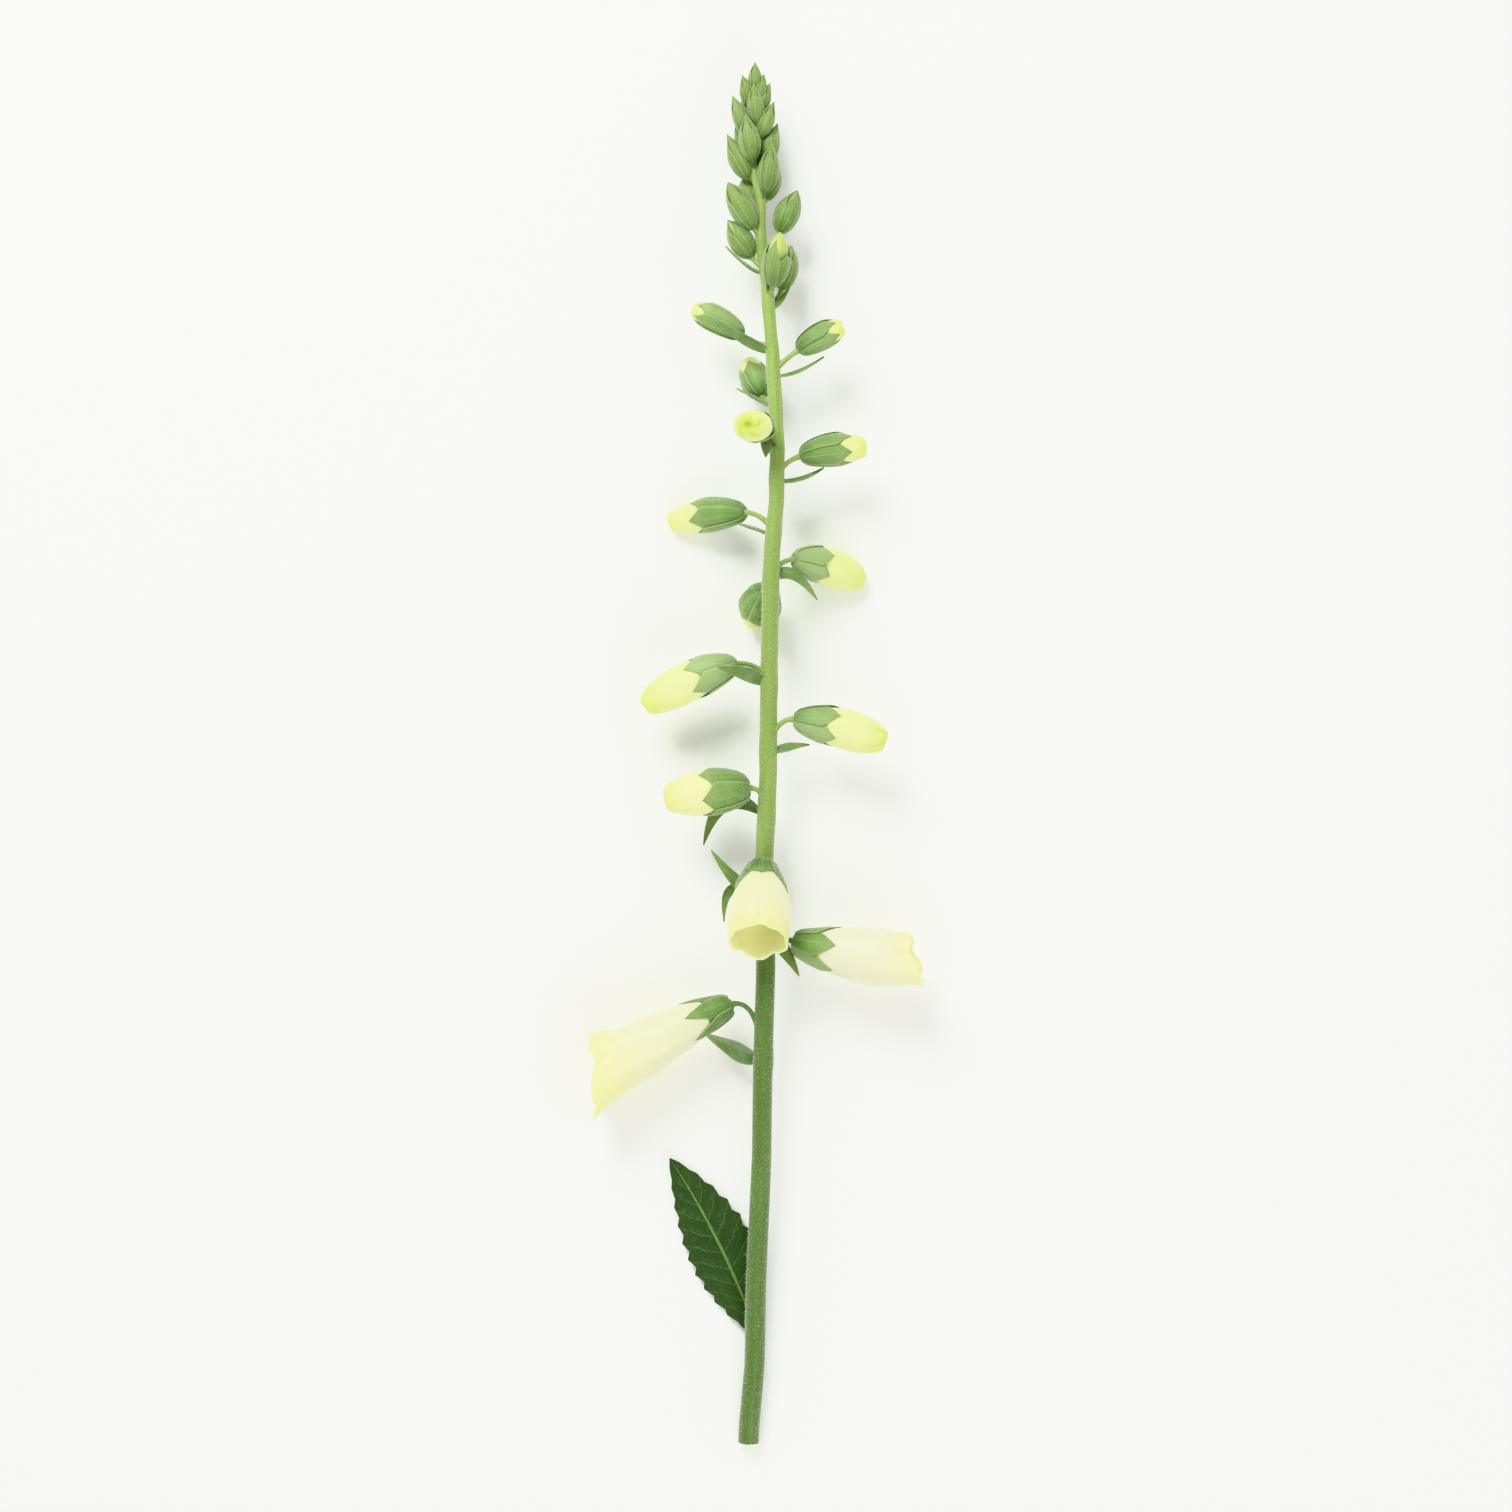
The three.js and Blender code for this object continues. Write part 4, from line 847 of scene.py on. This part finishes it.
def closed_petals(flower):
    """Blunt bud of petals. Radius as the bud's outline, drawn in between the five lobes toward the
    tip, where they wind over each other and sink in a dimple, depth * exp(-(radius / its own)^2)."""
    sides = 75
    controls, upper = flower_curve(flower)
    s = np.linspace(0, 0.992, 84)
    t = COROLLA_START + (1 - COROLLA_START) * (0.5 - 0.5 * np.cos(np.pi * s))
    t_grid, angle_grid = grid(t, ring_angles(sides))
    wound = angle_grid + WINDING * smoothstep(t_grid, 0.86, 1)
    folding = flower.get("folding", 0.45)
    between = folding * (1 - lobe_at(wound))
    crease = smoothstep(t_grid, 0.66, 0.95) * between**2
    fold = 0.1 * smoothstep(t_grid, 0.62, 1) * between + 0.16 * crease
    free = smoothstep(t, flower["sepals"] - 0.04, flower["sepals"] + 0.08)
    full = (bud_radius(flower, t) - SEAT_GAP).clip(0.02) * (1 + (FREE_GIRTH - 1) * free)
    radius = full[:, None] * (1 - fold)
    depth = DIMPLE_DEPTH / np.linalg.norm(controls[2] - controls[0])
    sunk = depth * np.exp(-((radius / DIMPLE_RADIUS) ** 2)) * smoothstep(t_grid, 0.85, 1)
    ring = around(controls, upper, t_grid - sunk, angle_grid, radius * flatness(flower, angle_grid))
    # The crease value sinks the creases and also marks them, and the dimpled end, for painted shade.
    return surface(ring, ring_shares(sides), t, start=bezier(controls, np.array(COROLLA_START))[0],
                   end=bezier(controls, np.array(1 - depth))[0], age=flower["age"], inner=0.0,
                   crease=np.maximum(crease, folding * smoothstep(t_grid, 0.9, 1)))


def open_petals(flower):
    """Hollow bell. The outer skin runs to the mouth, turns over a rounded lip and runs back inside.
    The mouth is oblique, with five lobes, and the tube has shallow folds between them."""
    sides, rows_out, rows_in = 100, 64, 54
    controls, upper = flower_curve(flower)
    lip_turn = np.linspace(0, np.pi, 7)[1:-1]
    span = np.linalg.norm(controls[2] - controls[0])
    t = np.concatenate([np.linspace(COROLLA_START, 1, rows_out), 1 + 0.25 / span * np.sin(lip_turn),
                        np.linspace(1, BELL_FLOOR, rows_in)])
    inset = np.concatenate([np.zeros(rows_out), PETAL_WALL / 2 * (1 - np.cos(lip_turn)),
                            np.full(rows_in, PETAL_WALL)])
    inner = np.concatenate([np.zeros(rows_out), np.linspace(0.1, 0.9, len(lip_turn)), np.ones(rows_in)])
    t_grid, angle_grid = grid(t, ring_angles(sides))
    lobe = lobe_at(angle_grid)
    lip = smoothstep(t_grid, 0.7, 1)
    lower = (1 - np.cos(angle_grid)) / 2
    reach = flower["oblique"] * (lower - 0.4) + LOBE_REACH * (1.3 * lobe - 0.3)
    folds = 0.035 * (1 - lobe) ** 1.5 * smoothstep(t_grid, 0.3, 0.85)
    belly = 0.03 * lower * np.sin(np.pi * np.minimum(t_grid, 1))
    roll = 2.2 * max(0.0, flower["flare"] - 0.88) * smoothstep(t_grid, 0.9, 1) * lobe
    creases = flower["wrinkle"] * (np.sin(3 * angle_grid + 5 * t_grid + 1) * np.sin(11 * t_grid)
                                   + 0.6 * np.sin(7 * angle_grid - 9 * t_grid) * np.sin(6 * t_grid + 1)
                                   + 0.35 * np.sin(17 * t_grid + 4 * np.sin(angle_grid + 1)))
    creases = creases * smoothstep(t_grid, flower["sepals"], flower["sepals"] + 0.2)
    ruffle = 0.22 * np.sin(11 * angle_grid + flower["root"]) * smoothstep(t_grid, 0.88, 1)
    radius = (bell_radius(flower, t)[:, None] * (1 + 0.06 * lip * lobe - folds + belly)
              - inset[:, None] + roll + creases + ruffle)
    ring = around(controls, upper, t_grid + lip * reach, angle_grid, radius)
    start, end = bezier(controls, np.array([COROLLA_START, BELL_FLOOR]))[0]
    return surface(ring, ring_shares(sides), np.minimum(t, 1), start=start, end=end,
                   age=flower["age"], inner=inner[:, None], crease=0.0)


def inside_bell(flower, t, angle, distance):
    """Points at shares t of a bell, at an angle round it and distances from its axis."""
    controls, upper = flower_curve(flower)
    return around(controls, upper, t, angle + 0 * t, distance)


def tube(points, radius, sides):
    """Round tube through points, its rings square to the path."""
    direction = unit(np.gradient(points, axis=0))
    first, second = across(direction, Z_AXIS)
    ring = points[:, None] + radius[:, None, None] * spokes(first, second, ring_angles(sides))
    return surface(ring, ring_shares(sides), np.linspace(0, 1, len(points)), start=points[0], end=points[-1])


def torus(ring):
    """Closed ring of closed loops: the grid's rows close round on themselves as its columns do."""
    rows, columns = ring.shape[:2]
    made = surface(np.concatenate([ring, ring[:1]]), ring_shares(columns), ring_shares(rows))
    made["points"] = made["points"][:rows * columns]
    made["quads"] = made["quads"] % (rows * columns)
    return made


def stamen_reach(flower, t):
    """How far a stamen lies off the bell's axis: out from the ring at a slope, and clear of the wall."""
    return np.minimum(bell_radius(flower, t) - STAMEN_ROOM, STAMEN_RING_RADIUS + 14 * (t - 0.155))


def filaments(flower):
    """Four filaments from a ring at the bottom of the bell, each up under its upper side."""
    made = []
    for degrees, end in STAMENS:
        t = np.linspace(STAMEN_RING_AT, end - 0.04, 26)
        reach = np.maximum(STAMEN_RING_RADIUS, stamen_reach(flower, t))
        path = inside_bell(flower, t, math.radians(degrees), reach)
        made.append(tube(path, 0.33 - 0.1 * np.linspace(0, 1, len(t)), 10))
    controls, upper = flower_curve(flower)
    turn, angle = grid(ring_angles(16), ring_angles(40))
    span = np.linalg.norm(controls[2] - controls[0])
    share = STAMEN_RING_AT + STAMEN_RING_THICKNESS / span * np.sin(turn)
    radius = STAMEN_RING_RADIUS + STAMEN_RING_THICKNESS * np.cos(turn)
    made.append(torus(around(controls, upper, share, angle, radius)))
    return made


def anthers(flower):
    """Two plump lobes at the end of each filament, spread like a V."""
    made = []
    for degrees, end in STAMENS:
        reach = stamen_reach(flower, end)
        t = np.array([end - 0.06, end, end])
        start, tip, outward = inside_bell(flower, t, math.radians(degrees),
                                          np.array([reach, reach, reach + 1]))
        heading = unit(tip - start)
        side = unit(np.cross(heading, outward - tip))
        for way in (-1, 1):
            far = start + 0.2 * heading + way * 0.5 * side
            near = start + ANTHER_LENGTH * heading + way * 0.15 * side
            share = np.linspace(0.02, 0.98, 12)
            path = far + share[:, None] * (near - far)
            made.append(tube(path, ANTHER_RADIUS * np.sin(np.pi * share) ** 0.6, 12))
    return made


def pistil_parts(flower):
    """Pear-shaped ovary on the floor of the bell, and a long style that ends in a small knob."""
    controls, _ = flower_curve(flower)
    span = np.linalg.norm(controls[2] - controls[0])
    t = np.linspace(BELL_FLOOR + SEAT_GAP / span, 0.82, 60)
    reach = np.clip(np.minimum(bell_radius(flower, t) - 2.1, 16 * (t - 0.3)), 0, None)
    reach = np.convolve(np.pad(reach, 3, mode="edge"), np.ones(7) / 7, "valid")
    radius = np.interp(np.linspace(0, 1, len(t)), [0, 0.04, 0.1, 0.16, 0.24, 0.94, 0.97, 1],
                       [0.8, 1.15, 1.2, 0.95, 0.42, 0.32, 0.45, 0.4])
    return [tube(inside_bell(flower, t, 0.0, reach), radius, 14)]


# Fine down, as meshes

def down(name, sources, material, count, length, width, seed):
    """Fine hairs on pieces, each a three-sided spike. Roots are spread evenly over the skin where its
    down value is set, and each hair stands along the skin's normal, turned a little at random."""
    chooser = np.random.default_rng(seed)
    corners, normals, weights = [], [], []
    for source in sources:
        mesh = source.data
        mesh.calc_loop_triangles()
        faces = np.zeros(3 * len(mesh.loop_triangles), int)
        mesh.loop_triangles.foreach_get("vertices", faces)
        points = np.zeros(3 * len(mesh.vertices))
        mesh.vertices.foreach_get("co", points)
        values = np.zeros(len(mesh.vertices))
        mesh.attributes["down"].data.foreach_get("value", values)
        faces = faces.reshape(-1, 3)
        triangle = 1000 * points.reshape(-1, 3)[faces]
        normal = np.cross(triangle[:, 1] - triangle[:, 0], triangle[:, 2] - triangle[:, 0])
        area = np.linalg.norm(normal, axis=1)
        corners.append(triangle)
        normals.append(normal / np.maximum(area, 1e-9)[:, None])
        weights.append(area * values[faces].min(1))
    corners, normals, weights = (np.concatenate(x) for x in (corners, normals, weights))
    chosen = chooser.choice(len(weights), count, p=weights / weights.sum())
    mix_a, mix_b = np.sqrt(chooser.random(count)), chooser.random(count)
    shares = np.stack([1 - mix_a, mix_a * (1 - mix_b), mix_a * mix_b], -1)
    root = (corners[chosen] * shares[..., None]).sum(1)
    heading = unit(normals[chosen] + chooser.normal(0, 0.35, (count, 3)))
    reach = length * chooser.uniform(0.5, 1.3, count)[:, None]
    first, second = across(heading, unit(chooser.normal(0, 1, (count, 3))))
    foot = root - 0.05 * heading
    base = foot[:, None] + width / 2 * spokes(first, second, ring_angles(3))
    tip = root + reach * heading
    points = np.concatenate([base, tip[:, None]], 1).reshape(-1, 3) + MIDDLE
    number = 4 * np.arange(count)[:, None]
    faces = (number[..., None] + np.array([[0, 1, 3], [1, 2, 3], [2, 0, 3], [2, 1, 0]])).reshape(-1, 3)
    part = dict(points=points, quads=np.zeros((0, 4), int), triangles=faces, quad_uv=np.zeros((0, 4, 2)),
                triangle_uv=np.zeros((len(faces), 3, 2)), values={})
    make_piece(name, [part], material, "stem_green", "stem")


def build_green():
    """Stem, stalks, sepals, bracts, buds and their down."""
    skin = stem_skin()
    sepal = sepal_skin("sepal_skin", SEPAL_COLOURS, 7, 0.5)
    bud = sepal_skin("bud_skin", BUD_COLOURS, 5, 0.5)
    bract = sepal_skin("bract_skin", BRACT_COLOURS, 5, 0.6)
    pith = plain_skin("cut_pith", "dfe8b4", "c3d58a", 0.7, 0.2, 900)
    flowers = OPEN_BELLS + CLOSED_FLOWERS
    buds = GREEN_BUDS + far_buds()
    stalks = [stalk(f) for f in flowers + buds if f["width"] > STALKED_BUD_WIDTH]
    calyx = []
    for flower in flowers:
        bell = "flare" in flower
        notch = flower["sepals"] * flower.get("notch", 0.32 if bell else 0.66)
        calyx += sepal_blades(flower, flower_radius, flower["sepals"], notch, 0.0, -0.3 if bell else -0.4,
                              FLOWER_SEPAL_LAP)
    closed, cores = [], []
    for number, small in enumerate(buds):
        showing = 0.7 * (number == 0)
        turn = random.uniform(0, 2 * np.pi) if number else math.radians(50)
        closed += sepal_blades(small, green_bud_radius, 1 - 0.12 * showing, 0.5, turn, -0.25, BUD_SEPAL_LAP)
        cores.append(bud_core(small, showing))
    main_piece = make_piece("main_stem", [stem_surface()], skin, "stem_green", "stem")
    stalk_piece = make_piece("flower_stalks", stalks, skin, "stem_green", "stem")
    make_piece("cut_end", [cut_face()], pith, "stem_green", "stem")
    cup_piece = make_piece("flower_cups", [receptacle(f) for f in flowers], sepal, "stem_green", "stem")
    calyx_piece = make_piece("sepals", calyx, sepal, "stem_green", "stem")
    make_piece("bud_cores", cores, bud, "stem_green", "stem")
    bud_piece = make_piece("bud_sepals", closed, bud, "stem_green", "stem")
    bracts = [bract_blade(f) for f in flowers + buds + BARE_BRACTS if "bract" in f]
    bract_piece = make_piece("bracts", bracts, bract, "stem_green", "stem")
    hair = plain_skin("down_hair", "f2f6e4", "e2ecc8", 0.6, 0.0, 400)
    down("stem_down", [main_piece, stalk_piece], hair, **STEM_DOWN)
    down("sepal_down", [calyx_piece, cup_piece, bud_piece, bract_piece], hair, **SEPAL_DOWN)


def build_leaf():
    """The one leaf, at the foot."""
    make_piece("foot_leaf", [foot_leaf_blade()], leaf_skin(), "leaf_green", "stem_leaf")


def build_petals():
    """The petals of each flower, and the stamens and pistil of each open bell."""
    petal = petal_skin()
    filament = plain_skin("filament_skin", "f4efc6", "eae4a8", 0.5, 0.3, 700)
    anther = plain_skin("anther_skin", "e8d489", "cfae5e", 0.7, 0.1, 1500)
    pistil = plain_skin("pistil_skin", "dbe29a", "c0d070", 0.5, 0.2, 900)
    for flower in OPEN_BELLS:
        name = flower["name"]
        make_piece(f"bell_{name}", [open_petals(flower)], petal, "petals_cream", f"petals_{name}")
        make_piece(f"filaments_{name}", filaments(flower), filament, "stamens_yellow", f"stamens_{name}")
        make_piece(f"anthers_{name}", anthers(flower), anther, "stamens_yellow", f"stamens_{name}")
        make_piece(f"style_{name}", pistil_parts(flower), pistil, "pistil_green", f"pistil_{name}")
    for flower in CLOSED_FLOWERS:
        name = flower["name"]
        slot = "petals_cream" if name in ("04", "05") else "petals_yellow"
        make_piece(f"closed_petals_{name}", [closed_petals(flower)], petal, slot, f"petals_{name}")


# Floor, lights and camera

def build_studio():
    """Pale floor under the spike, a soft sky, two wide lamps and a long lens straight above."""
    tree, shader = blank("pale_floor", 0.9, 0.0, 0.0, (1, 1, 1))
    shader.inputs["Base Color"].default_value = linear(FLOOR_COLOUR)
    mesh = bpy.data.meshes.new("floor")
    corners = [(x * FLOOR_HALF, y * FLOOR_HALF, 0) for x, y in ((-1, -1), (1, -1), (1, 1), (-1, 1))]
    mesh.from_pydata(corners, [], [(0, 1, 2, 3)])
    mesh.materials.append(bpy.data.materials["pale_floor"])
    floor = bpy.data.objects.new("floor", mesh)
    bpy.context.scene.collection.objects.link(floor)
    world = bpy.data.worlds.new("soft_sky")
    world.use_nodes = True
    world.node_tree.nodes["Background"].inputs["Color"].default_value = (1, 1, 1, 1)
    world.node_tree.nodes["Background"].inputs["Strength"].default_value = SKY_STRENGTH
    bpy.context.scene.world = world
    for name, place, size, power in LAMPS:
        lamp = bpy.data.lights.new(name, "AREA")
        lamp.shape = "DISK"
        lamp.size = size
        lamp.energy = power
        holder = bpy.data.objects.new(name, lamp)
        bpy.context.scene.collection.objects.link(holder)
        holder.location = place
        heading = -unit(np.array(place))
        holder.rotation_euler = (math.acos(-heading[2]), 0, math.atan2(heading[0], -heading[1]) + math.pi)
    camera = bpy.data.cameras.new("camera")
    camera.lens = CAMERA_LENS
    camera.sensor_width = CAMERA_SENSOR
    camera.clip_end = 20
    holder = bpy.data.objects.new("camera", camera)
    bpy.context.scene.collection.objects.link(holder)
    holder.location = (0, 0, CAMERA_HEIGHT)
    bpy.context.scene.camera = holder
    bpy.context.scene.view_settings.view_transform = "Khronos PBR Neutral"


build_green()
build_leaf()
build_petals()
build_studio()
bpy.context.view_layer.update()
